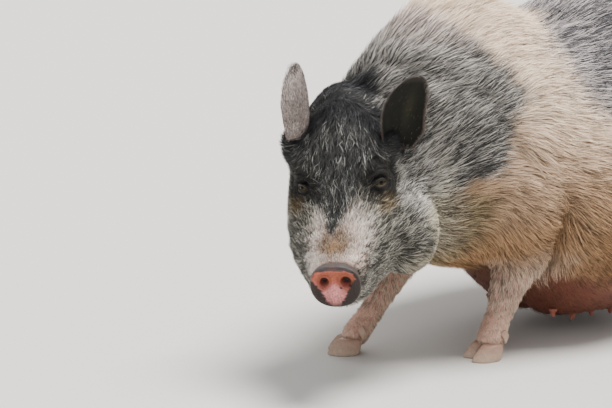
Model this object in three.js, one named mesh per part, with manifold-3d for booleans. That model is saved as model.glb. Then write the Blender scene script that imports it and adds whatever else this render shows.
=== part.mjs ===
// A pot-bellied sow, life size, standing three-quarter on with her head turned to her left.
// Millimetres. +Z is up, the pig faces -Y and her left side is +X. She stands on the flats of eight hooves at z = 0.
// The solids are the outer form with its coat. The whole animal is lofted, then parted with thin cuts.
import * as THREE from "three";
import { mergeVertices } from "three/addons/utils/BufferGeometryUtils.js";
import Module from "manifold-3d";

const wasm = await Module();
wasm.setup();

// Driving sizes
const GAP = 0.4; // between neighbouring solids
const RADIANS = Math.PI / 180;
const CUT_SIZE = 2000; // side of the boxes that part the body

const SNOUT_AT = { left: 142, forward: 631, up: 195 }; // centre of the snout disc
const HEAD_YAW = 41; // degrees to her left of the body's line
const HEAD_PITCH = 18; // degrees nose down
const HEAD_ROLL = -3.5; // degrees, crown towards her right

const EYE = { back: 140, side: 57, up: 78, radius: 12 };
const EAR = { half: 35, thick: 4.5, cup: 18 };

// Where the body is parted, as distances forward
const CUTS = { hip: -215, elbow: 100, neck: 292 };
// The head is parted from the neck at a plane behind the jowl and the right ear, its top leaning forwards
const HEAD_CUT = { left: -10, forward: 418, up: 330, yaw: 24, drop: 0.27 };

// A point given as left, forward and up of the ground under her middle
function at(left, forward, up) {
  return new THREE.Vector3(left, -forward, up);
}

// Catmull-Rom value of the numbers in a list at a fractional place in it
function between(values, place) {
  const last = values.length - 1;
  const i = Math.min(Math.floor(place), last - 1);
  const t = place - i;
  const p1 = values[i];
  const p2 = values[i + 1];
  const p0 = i > 0 ? values[i - 1] : 2 * p1 - p2;
  const p3 = i + 2 <= last ? values[i + 2] : 2 * p2 - p1;
  const slope1 = (p2 - p0) / 2;
  const slope2 = (p3 - p1) / 2;
  const t2 = t * t;
  const t3 = t2 * t;
  return (
    (2 * t3 - 3 * t2 + 1) * p1 + (t3 - 2 * t2 + t) * slope1 + (3 * t2 - 2 * t3) * p2 + (t3 - t2) * slope2
  );
}

// Stations are rows of numbers in the order of the keys. Gives `count` rows spread smoothly through them.
function through(keys, rows, count) {
  const made = [];
  for (let i = 0; i < count; i++) {
    const place = (i / (count - 1)) * (rows.length - 1);
    const row = {};
    keys.forEach((key, k) => {
      row[key] = between(rows.map((r) => r[k]), place);
    });
    made.push(row);
  }
  return made;
}

// A power that keeps its sign, for superellipses
function signedPower(value, power) {
  return Math.sign(value) * Math.abs(value) ** power;
}

// A closed solid from a list of points and a list of triangles, turned right way out
function closed(points, triangles) {
  const vertProperties = new Float32Array(points.flatMap((p) => [p.x, p.y, p.z]));
  const make = (list) =>
    new wasm.Manifold(new wasm.Mesh({ numProp: 3, vertProperties, triVerts: new Uint32Array(list) }));
  const made = make(triangles);
  if (made.volume() > 0) return made;
  const turned = [];
  for (let i = 0; i < triangles.length; i += 3) turned.push(triangles[i], triangles[i + 2], triangles[i + 1]);
  return make(turned);
}

// A closed solid from one of the ready-made geometries, with its seams joined
function solid(geometry, matrix) {
  const bare = geometry.index ? geometry.toNonIndexed() : geometry.clone();
  bare.deleteAttribute("normal");
  bare.deleteAttribute("uv");
  if (matrix) bare.applyMatrix4(matrix);
  const merged = mergeVertices(bare, 1e-3);
  const index = merged.index.array;
  const kept = [];
  for (let i = 0; i < index.length; i += 3) {
    const [a, b, c] = [index[i], index[i + 1], index[i + 2]];
    if (a !== b && b !== c && a !== c) kept.push(a, b, c);
  }
  const points = [];
  for (let i = 0; i < merged.attributes.position.count; i++) {
    points.push(new THREE.Vector3().fromBufferAttribute(merged.attributes.position, i));
  }
  return closed(points, kept);
}

// A solid skinned over rings of points, each with the same number of them, and closed by a fan at each end
function skinned(rings) {
  const count = rings[0].length;
  const points = rings.flat();
  const triangles = [];
  for (let i = 0; i < rings.length - 1; i++) {
    for (let k = 0; k < count; k++) {
      const a = i * count + k;
      const b = i * count + ((k + 1) % count);
      triangles.push(a, b, b + count, a, b + count, a + count);
    }
  }
  for (const [ring, first, flip] of [
    [rings[0], 0, true],
    [rings[rings.length - 1], (rings.length - 1) * count, false],
  ]) {
    const middle = ring.reduce((sum, p) => sum.add(p), new THREE.Vector3()).divideScalar(count);
    points.push(middle);
    for (let k = 0; k < count; k++) {
      const a = first + k;
      const b = first + ((k + 1) % count);
      triangles.push(points.length - 1, flip ? b : a, flip ? a : b);
    }
  }
  return closed(points, triangles);
}

// An ellipsoid, turned by yaw about Z, as a flesh mound on the body
function mound(centre, radii, yaw = 0, rows = 10) {
  const matrix = new THREE.Matrix4().compose(
    centre,
    new THREE.Quaternion().setFromAxisAngle(new THREE.Vector3(0, 0, 1), yaw * RADIANS),
    new THREE.Vector3(radii.side, radii.length, radii.height),
  );
  const ball = new THREE.SphereGeometry(1, Math.round(rows * 1.6), rows).rotateX(Math.PI / 2);
  return solid(ball, matrix);
}

// The half of space beyond a plane, as a big box whose face lies on it
function beyond(point, normal) {
  const direction = normal.clone().normalize();
  const matrix = new THREE.Matrix4().compose(
    point.clone().addScaledVector(direction, CUT_SIZE / 2),
    new THREE.Quaternion().setFromUnitVectors(new THREE.Vector3(0, 0, 1), direction),
    new THREE.Vector3(1, 1, 1),
  );
  return solid(new THREE.BoxGeometry(CUT_SIZE, CUT_SIZE, CUT_SIZE), matrix);
}

// Splits a solid at a plane, with half the gap taken from each side: [behind the plane, beyond it]
function parted(whole, point, normal) {
  const half = normal.clone().normalize().multiplyScalar(GAP / 2);
  const front = whole.intersect(beyond(point.clone().add(half), normal));
  const back = whole.subtract(beyond(point.clone().sub(half), normal));
  return [back, front];
}

function joined(solids) {
  return solids.reduce((sum, next) => sum.add(next));
}

// A ring across the body: a superellipse whose widest height is `waist`, with its own power above it and below it
function pearRing(row, sectors, place, grow = 0) {
  const ring = [];
  for (let i = 0; i < sectors; i++) {
    const angle = (i / sectors) * 2 * Math.PI;
    const power = Math.sin(angle) > 0 ? row.crest : row.power;
    const side = signedPower(Math.cos(angle), 2 / power) * (row.half + grow);
    const rise = signedPower(Math.sin(angle), 2 / power);
    const reach = rise > 0 ? row.top - row.waist + grow : row.waist - row.bottom + grow;
    ring.push(place(side, row.waist + rise * reach));
  }
  return ring;
}

// Trunk and neck, from the rump forwards. Each row is a section across the body's line.
const TORSO_KEYS = ["forward", "left", "yaw", "bottom", "top", "half", "waist", "power", "crest"];
const TORSO_ROWS = [
  [-468, 0, 0, 372, 412, 18, 392, 2, 2],
  [-452, 0, 0, 300, 478, 84, 388, 2, 2],
  [-405, 0, 0, 222, 540, 142, 372, 2, 2],
  [-320, 0, 0, 150, 584, 184, 346, 2.1, 2],
  [-220, 0, 0, 66, 592, 216, 306, 2.15, 2],
  [-120, 0, 0, 18, 582, 234, 270, 2.25, 2],
  [-25, 0, 0, 19, 564, 240, 260, 2.25, 2],
  [55, 0, 0, 26, 545, 234, 270, 2.15, 1.95],
  [115, 0, 0, 78, 542, 222, 300, 2.1, 1.9],
  [180, 0, 0, 128, 570, 202, 328, 2.05, 1.8],
  [250, 5, 2, 142, 587, 178, 342, 2, 1.65],
  [318, 14, 8, 158, 582, 152, 345, 2, 1.6],
  [376, 24, 19, 178, 556, 130, 342, 2, 1.6],
  [420, 32, 30, 200, 520, 112, 336, 2, 1.65],
  [450, 34, 38, 228, 480, 94, 332, 2, 1.8],
  [472, 34, 41, 268, 428, 66, 334, 2, 2],
  [481, 34, 41, 318, 366, 16, 338, 2, 2],
];
const TORSO_RINGS = 29;
const TORSO_SECTORS = 24;

function torsoLoft(grow = 0) {
  const rings = through(TORSO_KEYS, TORSO_ROWS, TORSO_RINGS).map((row) => {
    const turn = row.yaw * RADIANS;
    const place = (side, up) =>
      at(row.left + side * Math.cos(turn), row.forward - side * Math.sin(turn), up);
    return pearRing(row, TORSO_SECTORS, place, grow);
  });
  return skinned(rings);
}

// Shoulder and ham mounds on each side, given for her left
const MOUNDS = [
  { left: 112, forward: 205, up: 318, radii: { side: 84, length: 96, height: 168 } },
  { left: 108, forward: -305, up: 318, radii: { side: 82, length: 122, height: 176 } },
];

function trunk(grow = 0) {
  const parts = [torsoLoft(grow)];
  for (const { left, forward, up, radii } of MOUNDS) {
    const grown = { side: radii.side + grow, length: radii.length + grow, height: radii.height + grow };
    for (const side of [-1, 1]) parts.push(mound(at(side * left, forward, up), grown));
  }
  return joined(parts);
}

// Two rows of teats along the belly
const TEATS = { first: -178, step: 50, count: 6, side: 70, radius: 8, length: 15 };

function belly(torso) {
  const teats = [];
  const radii = { side: TEATS.radius, length: TEATS.radius, height: TEATS.length };
  for (const side of [-TEATS.side, TEATS.side]) {
    for (let i = 0; i < TEATS.count; i++) {
      const forward = TEATS.first + i * TEATS.step;
      teats.push(mound(at(side, forward, lowestAt(torso, side, forward) + 3), radii, 0, 3));
    }
  }
  return joined([torso, ...teats]);
}

// The height of the underside above a spot on the ground
function lowestAt(body, left, forward) {
  const probe = mound(at(left, forward, 300), { side: 2, length: 2, height: 300 }, 0, 3);
  return body.intersect(probe).boundingBox().min[2];
}

// Head in its own frame: the snout disc's centre is the origin, the muzzle points along -Y, +X is her left and +Z up.
// Each row is a section at a distance behind the disc.
const HEAD_KEYS = ["back", "bottom", "top", "half", "waist", "power", "crest"];
const HEAD_ROWS = [
  [9, -34, 30, 37, -2, 2.3, 2.3],
  [28, -47, 34, 42, -5, 2.4, 2.3],
  [52, -60, 41, 51, -8, 2.4, 2.3],
  [78, -68, 52, 62, -10, 2.4, 2.3],
  [104, -74, 70, 72, -12, 2.4, 2.3],
  [128, -78, 96, 81, -12, 2.3, 2.25],
  [152, -82, 128, 87, -10, 2.2, 2.2],
  [180, -84, 158, 91, -6, 2.1, 2.1],
  [210, -82, 184, 94, 4, 2.1, 2],
  [242, -74, 202, 93, 16, 2.05, 1.9],
  [274, -54, 198, 84, 34, 2, 1.9],
  [302, -16, 156, 60, 52, 2, 2],
  [314, 44, 86, 16, 62, 2, 2],
];
const HEAD_RINGS = 20;
const HEAD_SECTORS = 20;
// Her head is turned to the left, so that the jowl on that side is pushed out into a fat fold
const JOWLS = [
  { side: 84, back: 184, up: -22, radii: { side: 54, length: 68, height: 70 } },
  { side: -50, back: 178, up: -24, radii: { side: 38, length: 70, height: 52 } },
];
// A soft ridge over each eye and the fleshy root of each ear
const RIDGES = [
  { side: 48, back: 158, up: 98, radii: { side: 27, length: 26, height: 23 } },
  { side: 68, back: 216, up: 110, radii: { side: 30, length: 27, height: 44 } },
];

function headLoft(grow = 0) {
  const rings = through(HEAD_KEYS, HEAD_ROWS, HEAD_RINGS).map((row) =>
    pearRing(row, HEAD_SECTORS, (side, up) => new THREE.Vector3(side, row.back, up), grow),
  );
  const parts = [skinned(rings)];
  const fat = (radii) => ({
    side: radii.side + grow,
    length: radii.length + grow,
    height: radii.height + grow,
  });
  for (const { side, back, up, radii } of JOWLS) {
    parts.push(mound(new THREE.Vector3(side, back, up), fat(radii), Math.sign(side) * 8, 7));
  }
  for (const { side, back, up, radii } of RIDGES) {
    for (const way of [-1, 1]) parts.push(mound(new THREE.Vector3(way * side, back, up), fat(radii), 0, 4));
  }
  return joined(parts);
}

// Snout disc: a short flared drum with a slightly domed face and two nostrils
const DISC = { half: 37, high: 31, depth: 8.5, face: 5, nostrilSide: 16.5, nostrilUp: 2, nostril: 6.5, bore: 22 };

function snoutDisc() {
  const rows = [
    [DISC.depth, 0.965],
    [1, 1],
    [-3, 0.94],
    [-DISC.face, 0.72],
  ];
  const rings = rows.map(([back, share]) => {
    const row = { half: DISC.half * share, top: DISC.high * share, bottom: -DISC.high * share - 2, waist: -1 };
    const place = (side, up) => new THREE.Vector3(side, back, up);
    return pearRing({ ...row, power: 2.25, crest: 2.25 }, 20, place);
  });
  let disc = skinned(rings);
  for (const side of [-1, 1]) {
    const matrix = new THREE.Matrix4().compose(
      new THREE.Vector3(side * DISC.nostrilSide, -8, DISC.nostrilUp),
      new THREE.Quaternion().setFromEuler(new THREE.Euler(0, 0, side * 14 * RADIANS)),
      new THREE.Vector3(1.05, 1, 1.15),
    );
    disc = disc.subtract(solid(new THREE.CylinderGeometry(DISC.nostril, DISC.nostril, DISC.bore, 8), matrix));
  }
  return disc;
}

function eyeball(side, grow = 0) {
  const size = EYE.radius + grow;
  const radii = { side: size, length: size, height: size };
  return mound(new THREE.Vector3(side * EYE.side, EYE.back, EYE.up), radii, 0, 6);
}

// The line of the closed mouth parts the lower jaw from the head: a thin wedge that runs back from under the disc
const MOUTH = { front: -30, back: 108, rise: 2, sink: -30 };

function jawRegion(grow) {
  const shape = new THREE.Shape();
  shape.moveTo(MOUTH.front, MOUTH.sink + grow);
  shape.quadraticCurveTo(MOUTH.back * 0.45, MOUTH.sink + 2 + grow, MOUTH.back + grow, MOUTH.sink + MOUTH.rise + grow);
  shape.lineTo(MOUTH.back + 46 + grow, -160);
  shape.lineTo(MOUTH.front, -160);
  shape.closePath();
  const slab = new THREE.ExtrudeGeometry(shape, { depth: 400, bevelEnabled: false, curveSegments: 10 });
  const matrix = new THREE.Matrix4().makeBasis(
    new THREE.Vector3(0, 1, 0),
    new THREE.Vector3(0, 0, 1),
    new THREE.Vector3(1, 0, 0),
  );
  matrix.setPosition(-200, 0, 0);
  return solid(slab, matrix);
}

// Ear: a cupped leaf. Its section is a flat bent ring, widest a third of the way up, and it ends in a blunt tip.
const EAR_RINGS = 9;
const EAR_SECTORS = 14;

function earLeaf(pose) {
  const rings = [];
  for (let i = 0; i < EAR_RINGS; i++) {
    const t = i / (EAR_RINGS - 1);
    const width = EAR.half * (0.8 + 0.9 * t - 0.5 * t * t) * Math.sqrt(Math.max(1 - t ** 3.2, 0.004));
    const cup = EAR.cup * (1 - 0.7 * t);
    const thick = EAR.thick * (1.5 - 0.8 * t);
    const middle = pose.tip * t ** 4 - pose.bow * Math.sin(t * Math.PI);
    const lobe = pose.lobe * Math.exp(-(((t - 0.1) / 0.3) ** 2));
    const ring = [];
    for (let k = 0; k < EAR_SECTORS; k++) {
      const angle = (k / EAR_SECTORS) * 2 * Math.PI;
      const across = Math.cos(angle);
      const reach = width + lobe * Math.max(across, 0);
      const bend = -cup * (1 - across * across) - 10 * Math.sin(t * Math.PI) * 0.4;
      const rise = pose.length * t - 14 * (1 - t);
      ring.push(new THREE.Vector3(across * reach + middle, -bend + Math.sin(angle) * thick, rise));
    }
    rings.push(ring);
  }
  return skinned(rings);
}

// How each ear sits on the head: its root, then turned about Z by `turn`, tipped outwards by `splay` and
// forwards by `lean`, in degrees. Its tip is drawn aside by `tip`, its middle by `bow`, and its outer base is
// fuller by `lobe`.
// Her left ear opens forwards, her right ear is turned back so that its hairy side shows.
const EAR_POSES = {
  left: { side: 89, back: 208, up: 124, turn: 30, splay: 12, lean: 8, length: 101, tip: 4, bow: 5, lobe: 9 },
  right: { side: 70, back: 214, up: 150, turn: 112, splay: -5, lean: -4, length: 95, tip: -10, bow: 0, lobe: 0 },
};

function earMatrix(name, side) {
  const pose = EAR_POSES[name];
  const turn = new THREE.Quaternion().setFromEuler(
    new THREE.Euler(pose.lean * RADIANS, side * pose.splay * RADIANS, side * pose.turn * RADIANS, "ZYX"),
  );
  return new THREE.Matrix4().compose(
    new THREE.Vector3(side * pose.side, pose.back, pose.up),
    turn,
    new THREE.Vector3(1, 1, 1),
  );
}

// Legs: a round-sectioned tube through joints. Each row is left, forward, up and the radii along and across her line.
const LEG_KEYS = ["left", "forward", "up", "along", "across"];
const LEG_RINGS = 16;
const LEG_SECTORS = 14;
const LEGS = {
  fore_left: {
    rows: [
      [104, 208, 330, 60, 44],
      [108, 180, 262, 72, 50],
      [106, 172, 205, 64, 47],
      [98, 186, 160, 50, 40],
      [90, 204, 122, 36, 33],
      [86, 212, 96, 32, 31],
      [83, 219, 70, 26, 28],
      [81, 229, 46, 29, 31],
      [82, 238, 28, 31, 32],
      [83, 243, 16, 29, 31],
    ],
    foot: { left: 79, forward: 254, yaw: -20 },
  },
  fore_right: {
    rows: [
      [-104, 226, 330, 60, 44],
      [-108, 222, 262, 70, 50],
      [-104, 230, 205, 60, 46],
      [-97, 256, 160, 46, 39],
      [-90, 286, 124, 35, 33],
      [-86, 310, 98, 31, 30],
      [-84, 332, 72, 26, 28],
      [-85, 354, 48, 28, 29],
      [-88, 374, 29, 30, 31],
      [-90, 382, 16, 29, 30],
    ],
    foot: { left: -98, forward: 391, yaw: -44 },
  },
  hind_left: {
    rows: [
      [112, -286, 400, 96, 50],
      [116, -284, 310, 104, 56],
      [116, -290, 246, 82, 52],
      [114, -318, 196, 54, 42],
      [111, -352, 158, 37, 32],
      [110, -362, 128, 30, 27],
      [109, -358, 92, 25, 25],
      [108, -347, 56, 27, 29],
      [107, -337, 31, 30, 32],
      [106, -333, 17, 29, 31],
    ],
    foot: { left: 107, forward: -321, yaw: 4 },
  },
  hind_right: {
    rows: [
      [-112, -262, 400, 96, 50],
      [-116, -250, 310, 104, 56],
      [-116, -250, 246, 82, 52],
      [-114, -270, 196, 54, 42],
      [-111, -298, 158, 37, 32],
      [-109, -300, 128, 30, 27],
      [-107, -290, 92, 25, 25],
      [-105, -272, 56, 27, 29],
      [-104, -260, 31, 30, 32],
      [-103, -256, 17, 29, 31],
    ],
    foot: { left: -104, forward: -244, yaw: -6 },
  },
};
const ANKLE_RING = 0.62; // share of the leg's rings above the cut between leg and foot

function legLoft(leg, grow = 0) {
  const rows = through(LEG_KEYS, leg.rows, LEG_RINGS);
  const centres = rows.map((row) => at(row.left, row.forward, row.up));
  const rings = rows.map((row, i) => {
    const before = centres[Math.max(i - 1, 0)];
    const after = centres[Math.min(i + 1, LEG_RINGS - 1)];
    const down = after.clone().sub(before).normalize();
    const across = new THREE.Vector3(1, 0, 0).addScaledVector(down, -down.x).normalize();
    const along = new THREE.Vector3().crossVectors(down, across);
    const ring = [];
    for (let k = 0; k < LEG_SECTORS; k++) {
      const angle = (k / LEG_SECTORS) * 2 * Math.PI;
      ring.push(
        centres[i]
          .clone()
          .addScaledVector(along, Math.cos(angle) * (row.along + grow))
          .addScaledVector(across, Math.sin(angle) * (row.across + grow)),
      );
    }
    return ring;
  });
  return { body: skinned(rings), centres };
}

// A hoof in the foot's frame: rings that lean back from the flat sole up to the coronet
const HOOF = { length: 52, half: 14, height: 27, point: 0.6, rows: 4, sectors: 10 };
const DEWCLAW = { size: 0.5, back: 43, rise: 15, spread: 12, rows: 3, sectors: 6, hole: 1.12 };

function hoof(side, size, rows, sectors) {
  const rings = [];
  for (let i = 0; i < rows; i++) {
    const t = i / (rows - 1);
    const length = (HOOF.length / 2) * size * (1 - 0.34 * t * t);
    const half = HOOF.half * size * (1 - 0.12 * t);
    const ring = [];
    for (let k = 0; k < sectors; k++) {
      const angle = (k / sectors) * 2 * Math.PI;
      const ahead = Math.cos(angle);
      const pinch = ahead > 0 ? 1 - HOOF.point * ahead ** 3 : 1;
      const across = side * (HOOF.half * size + 1.2) + Math.sin(angle) * half * pinch;
      ring.push(new THREE.Vector3(across, 11 * size * t - ahead * length, t * HOOF.height * size));
    }
    rings.push(ring);
  }
  return rings;
}

// A dewclaw, or the hole for it: the same form swollen about its own middle
function dewclaw(side, swell = 1) {
  const move = new THREE.Vector3(side * DEWCLAW.spread, DEWCLAW.back, DEWCLAW.rise);
  const rings = hoof(side, DEWCLAW.size, DEWCLAW.rows, DEWCLAW.sectors);
  const points = rings.flat();
  const middle = points.reduce((sum, p) => sum.add(p), new THREE.Vector3()).divideScalar(points.length);
  for (const p of points) p.sub(middle).multiplyScalar(swell).add(middle).add(move);
  return skinned(rings);
}

// Tail: hangs from the rump nearly straight and ends in a brush of hair
const TAIL_ROWS = [
  [0, -448, 470, 17],
  [2, -474, 452, 16],
  [6, -490, 412, 13],
  [12, -494, 360, 10],
  [16, -492, 310, 9],
  [17, -488, 268, 15],
  [16, -484, 226, 16],
  [15, -482, 190, 5],
];
const TAIL_RINGS = 13;
const TAIL_SECTORS = 10;

function tailLoft() {
  const rows = through(["left", "forward", "up", "radius"], TAIL_ROWS, TAIL_RINGS);
  const centres = rows.map((row) => at(row.left, row.forward, row.up));
  const rings = rows.map((row, i) => {
    const before = centres[Math.max(i - 1, 0)];
    const after = centres[Math.min(i + 1, TAIL_RINGS - 1)];
    const down = after.clone().sub(before).normalize();
    const across = new THREE.Vector3(1, 0, 0).addScaledVector(down, -down.x).normalize();
    const along = new THREE.Vector3().crossVectors(down, across);
    const ring = [];
    for (let k = 0; k < TAIL_SECTORS; k++) {
      const angle = (k / TAIL_SECTORS) * 2 * Math.PI;
      ring.push(
        centres[i]
          .clone()
          .addScaledVector(along, Math.cos(angle) * row.radius)
          .addScaledVector(across, Math.sin(angle) * row.radius),
      );
    }
    return ring;
  });
  return skinned(rings);
}

// Materials, by name
const MATERIALS = {
  coat_cream: { color: 0xd9c6b4, roughness: 0.8, metalness: 0 },
  coat_grey: { color: 0x6b6a6b, roughness: 0.8, metalness: 0 },
  coat_dark: { color: 0x2f3133, roughness: 0.85, metalness: 0 },
  snout_pink: { color: 0xc98478, roughness: 0.45, metalness: 0 },
  eye_dark: { color: 0x1a120c, roughness: 0.08, metalness: 0 },
  hoof_horn: { color: 0xb79a84, roughness: 0.55, metalness: 0 },
  skin_pink: { color: 0xc9968a, roughness: 0.7, metalness: 0 },
};

function mesh(name, made, material, matrix) {
  const whole = matrix ? made.transform(matrix.elements) : made;
  const { numProp, numVert, vertProperties, triVerts } = whole.getMesh();
  const positions = new Float32Array(numVert * 3);
  for (let i = 0; i < numVert; i++) {
    positions.set(vertProperties.subarray(i * numProp, i * numProp + 3), i * 3);
  }
  const geometry = new THREE.BufferGeometry();
  geometry.setAttribute("position", new THREE.BufferAttribute(positions, 3));
  geometry.setIndex(new THREE.BufferAttribute(triVerts, 1));
  geometry.computeVertexNormals();
  const node = new THREE.Mesh(geometry, new THREE.MeshStandardMaterial(MATERIALS[material]));
  node.name = name;
  return node;
}

// The largest separate body of a solid, without the crumbs that a cut can leave
function largest(made) {
  return made.decompose().reduce((best, next) => (next.volume() > best.volume() ? next : best));
}

const pig = new THREE.Group();

// Head group, at the snout disc's centre
const head = new THREE.Group();
head.position.copy(at(SNOUT_AT.left, SNOUT_AT.forward, SNOUT_AT.up));
head.rotation.set(HEAD_PITCH * RADIANS, HEAD_ROLL * RADIANS, HEAD_YAW * RADIANS, "ZXY");
head.updateMatrixWorld(true);
pig.add(head);
const headToPig = head.matrixWorld;
const pigToHead = headToPig.clone().invert();

// The body, whole, then parted into hindquarters, barrel, shoulders and neck
const FORWARD = new THREE.Vector3(0, -1, 0);
const UP = new THREE.Vector3(0, 0, 1);
const trunkFat = trunk(GAP);
const skullFat = headLoft(GAP).transform(headToPig.elements);
const [hindPart, beforeHip] = parted(trunk(), at(0, CUTS.hip, 0), FORWARD);
const [barrelPart, beforeElbow] = parted(beforeHip, at(0, CUTS.elbow, 0), FORWARD);
const [shoulderPart, neckPart] = parted(beforeElbow, at(0, CUTS.neck, 0), FORWARD);

// Head and neck meet at a plane behind the jowl. The head's side of it is worked in the head's own frame.
const headCut = at(HEAD_CUT.left, HEAD_CUT.forward, HEAD_CUT.up);
const headLine = at(Math.sin(HEAD_CUT.yaw * RADIANS), Math.cos(HEAD_CUT.yaw * RADIANS), -HEAD_CUT.drop);
const skull = headLoft().transform(headToPig.elements);
const [neckWhole, headWhole] = parted(joined([skull, neckPart]), headCut, headLine);
const neckOnly = parted(neckWhole, at(0, CUTS.neck, 0), FORWARD)[1];
const headInOwn = headWhole.transform(pigToHead.elements);

const disc = snoutDisc();
const openHead = [-1, 1].reduce((sum, side) => sum.subtract(eyeball(side, GAP)), headInOwn);
head.add(mesh("head", largest(openHead.subtract(jawRegion(GAP / 2))), "coat_dark"));
head.add(mesh("lower_jaw", largest(openHead.intersect(jawRegion(-GAP / 2))), "coat_grey"));
head.add(mesh("snout_disc", disc, "snout_pink"));

// Ears stop a gap short of the head and the neck
const bodyFat = joined([skullFat, trunkFat]).transform(pigToHead.elements);
for (const [name, side] of [
  ["left", 1],
  ["right", -1],
]) {
  const leaf = earLeaf(EAR_POSES[name]).transform(earMatrix(name, side).elements);
  head.add(mesh(`ear_${name}`, largest(leaf.subtract(bodyFat)), "coat_grey"));
  head.add(mesh(`eye_${name}`, eyeball(side), "eye_dark"));
}

// Trunk and neck, in the pig's own frame
pig.add(mesh("neck", largest(neckOnly), "coat_grey"));
pig.add(mesh("shoulders", largest(shoulderPart.subtract(skullFat)), "coat_cream"));
pig.add(mesh("barrel", largest(belly(barrelPart)), "coat_cream"));
pig.add(mesh("hindquarters", largest(hindPart), "coat_grey"));

// Legs stop at the body, and each foot ends just above its two main hooves
for (const [name, leg] of Object.entries(LEGS)) {
  const foot = new THREE.Group();
  foot.position.copy(at(leg.foot.left, leg.foot.forward, 0));
  foot.rotation.z = leg.foot.yaw * RADIANS;
  foot.updateMatrixWorld(true);
  pig.add(foot);
  const { body, centres } = legLoft(leg);
  const [, bare] = parted(body.subtract(trunkFat).subtract(skullFat), at(0, 0, HOOF.height + GAP / 2), UP);
  const claws = joined([-1, 1].map((side) => dewclaw(side, DEWCLAW.hole))).transform(foot.matrixWorld.elements);
  const ankle = centres[Math.round(LEG_RINGS * ANKLE_RING)];
  const [lower, upper] = parted(bare.subtract(claws), ankle, UP);
  pig.add(mesh(`${name}_leg`, largest(upper), "coat_cream"));
  pig.add(mesh(`${name}_foot`, largest(lower), "skin_pink"));
  for (const [word, side] of [
    ["inner", -1],
    ["outer", 1],
  ]) {
    foot.add(mesh(`${name}_toe_${word}`, skinned(hoof(side, 1, HOOF.rows, HOOF.sectors)), "hoof_horn"));
    foot.add(mesh(`${name}_dewclaw_${word}`, dewclaw(side), "hoof_horn"));
  }
}

// Tail
pig.add(mesh("tail", largest(tailLoft().subtract(trunkFat)), "coat_grey"));

// The origin is on the ground under the middle of the animal's box
const box = new THREE.Box3().setFromObject(pig, true);
const middle = box.getCenter(new THREE.Vector3());
pig.position.set(-middle.x, -middle.y, -box.min.z);

const part = new THREE.Group();
part.add(pig);

export default part;
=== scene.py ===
"""A pot-bellied sow in her coat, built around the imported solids.

Sizes are millimetres left, forward and up of the ground under her middle, and go into a mesh in metres.
Shapes are numpy surfaces: rings carried along a path, or grids of two parameters.
"""

import math

import bmesh
import bpy
import numpy as np
from mathutils import Matrix, Vector


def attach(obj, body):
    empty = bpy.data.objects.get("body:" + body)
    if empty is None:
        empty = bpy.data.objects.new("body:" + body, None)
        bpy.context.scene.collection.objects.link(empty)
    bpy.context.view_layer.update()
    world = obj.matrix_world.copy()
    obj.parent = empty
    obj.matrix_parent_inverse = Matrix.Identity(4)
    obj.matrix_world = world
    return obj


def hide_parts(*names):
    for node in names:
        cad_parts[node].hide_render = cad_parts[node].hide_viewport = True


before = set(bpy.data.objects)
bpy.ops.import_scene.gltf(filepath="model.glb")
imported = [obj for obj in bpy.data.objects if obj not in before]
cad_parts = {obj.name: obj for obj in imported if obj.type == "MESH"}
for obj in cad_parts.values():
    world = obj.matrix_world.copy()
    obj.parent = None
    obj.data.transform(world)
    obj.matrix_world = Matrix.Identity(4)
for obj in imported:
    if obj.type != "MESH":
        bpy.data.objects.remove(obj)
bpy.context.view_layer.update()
rng = np.random.default_rng(7)

# Where the design's middle line lies in the frame, in millimetres
SHIFT = np.array([0.0, 76.4, 0.0])

# The head's own frame: the snout disc's centre is its origin. Columns are side (her left), back and up.
SNOUT_AT = (142.0, 631.0, 195.0)
HEAD_YAW = math.radians(41)
HEAD_PITCH = math.radians(18)
HEAD_ROLL = math.radians(-3.5)

# Eyeballs: centre as side, back and up in the head, by way (1 is her left), and radius
EYES = {1: (54.5, 143.5, 81.5), -1: (-49.5, 143.5, 77.0)}
EYE_RADIUS = 11.5

# Size in metres of the cells that the skin's parts are joined in
REMESH_CELL = 0.0075

# Coat depth left outside the skin, by place
DEPTH = {"body": 13.0, "crest": 20.0, "belly": 4.0, "face": 4.0, "nape": 12.0, "leg": 5.0, "tail": 4.0}

# Sections of the trunk and neck: forward, left, yaw, bottom, top, half width, waist, powers below and above
TORSO = [
    [-468, 0, 0, 372, 412, 18, 392, 2, 2],
    [-452, 0, 0, 300, 478, 84, 388, 2, 2],
    [-405, 0, 0, 222, 540, 142, 372, 2, 2],
    [-320, 0, 0, 150, 584, 184, 346, 2.1, 2],
    [-220, 0, 0, 66, 592, 216, 306, 2.15, 2],
    [-120, 0, 0, 18, 582, 234, 270, 2.25, 2],
    [-25, 0, 0, 19, 564, 240, 260, 2.25, 2],
    [55, 0, 0, 26, 545, 234, 270, 2.15, 1.95],
    [115, 0, 0, 78, 542, 222, 300, 2.1, 1.9],
    [180, 0, 0, 128, 570, 202, 328, 2.05, 1.8],
    [250, 5, 2, 142, 587, 178, 342, 2, 1.65],
    [318, 14, 8, 158, 582, 152, 345, 2, 1.6],
    [376, 24, 19, 178, 556, 130, 342, 2, 1.6],
    [420, 32, 30, 200, 520, 112, 336, 2, 1.65],
    [450, 34, 38, 228, 480, 94, 332, 2, 1.8],
    [472, 34, 41, 268, 428, 66, 334, 2, 2],
    [481, 34, 41, 318, 366, 16, 338, 2, 2],
]

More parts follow.
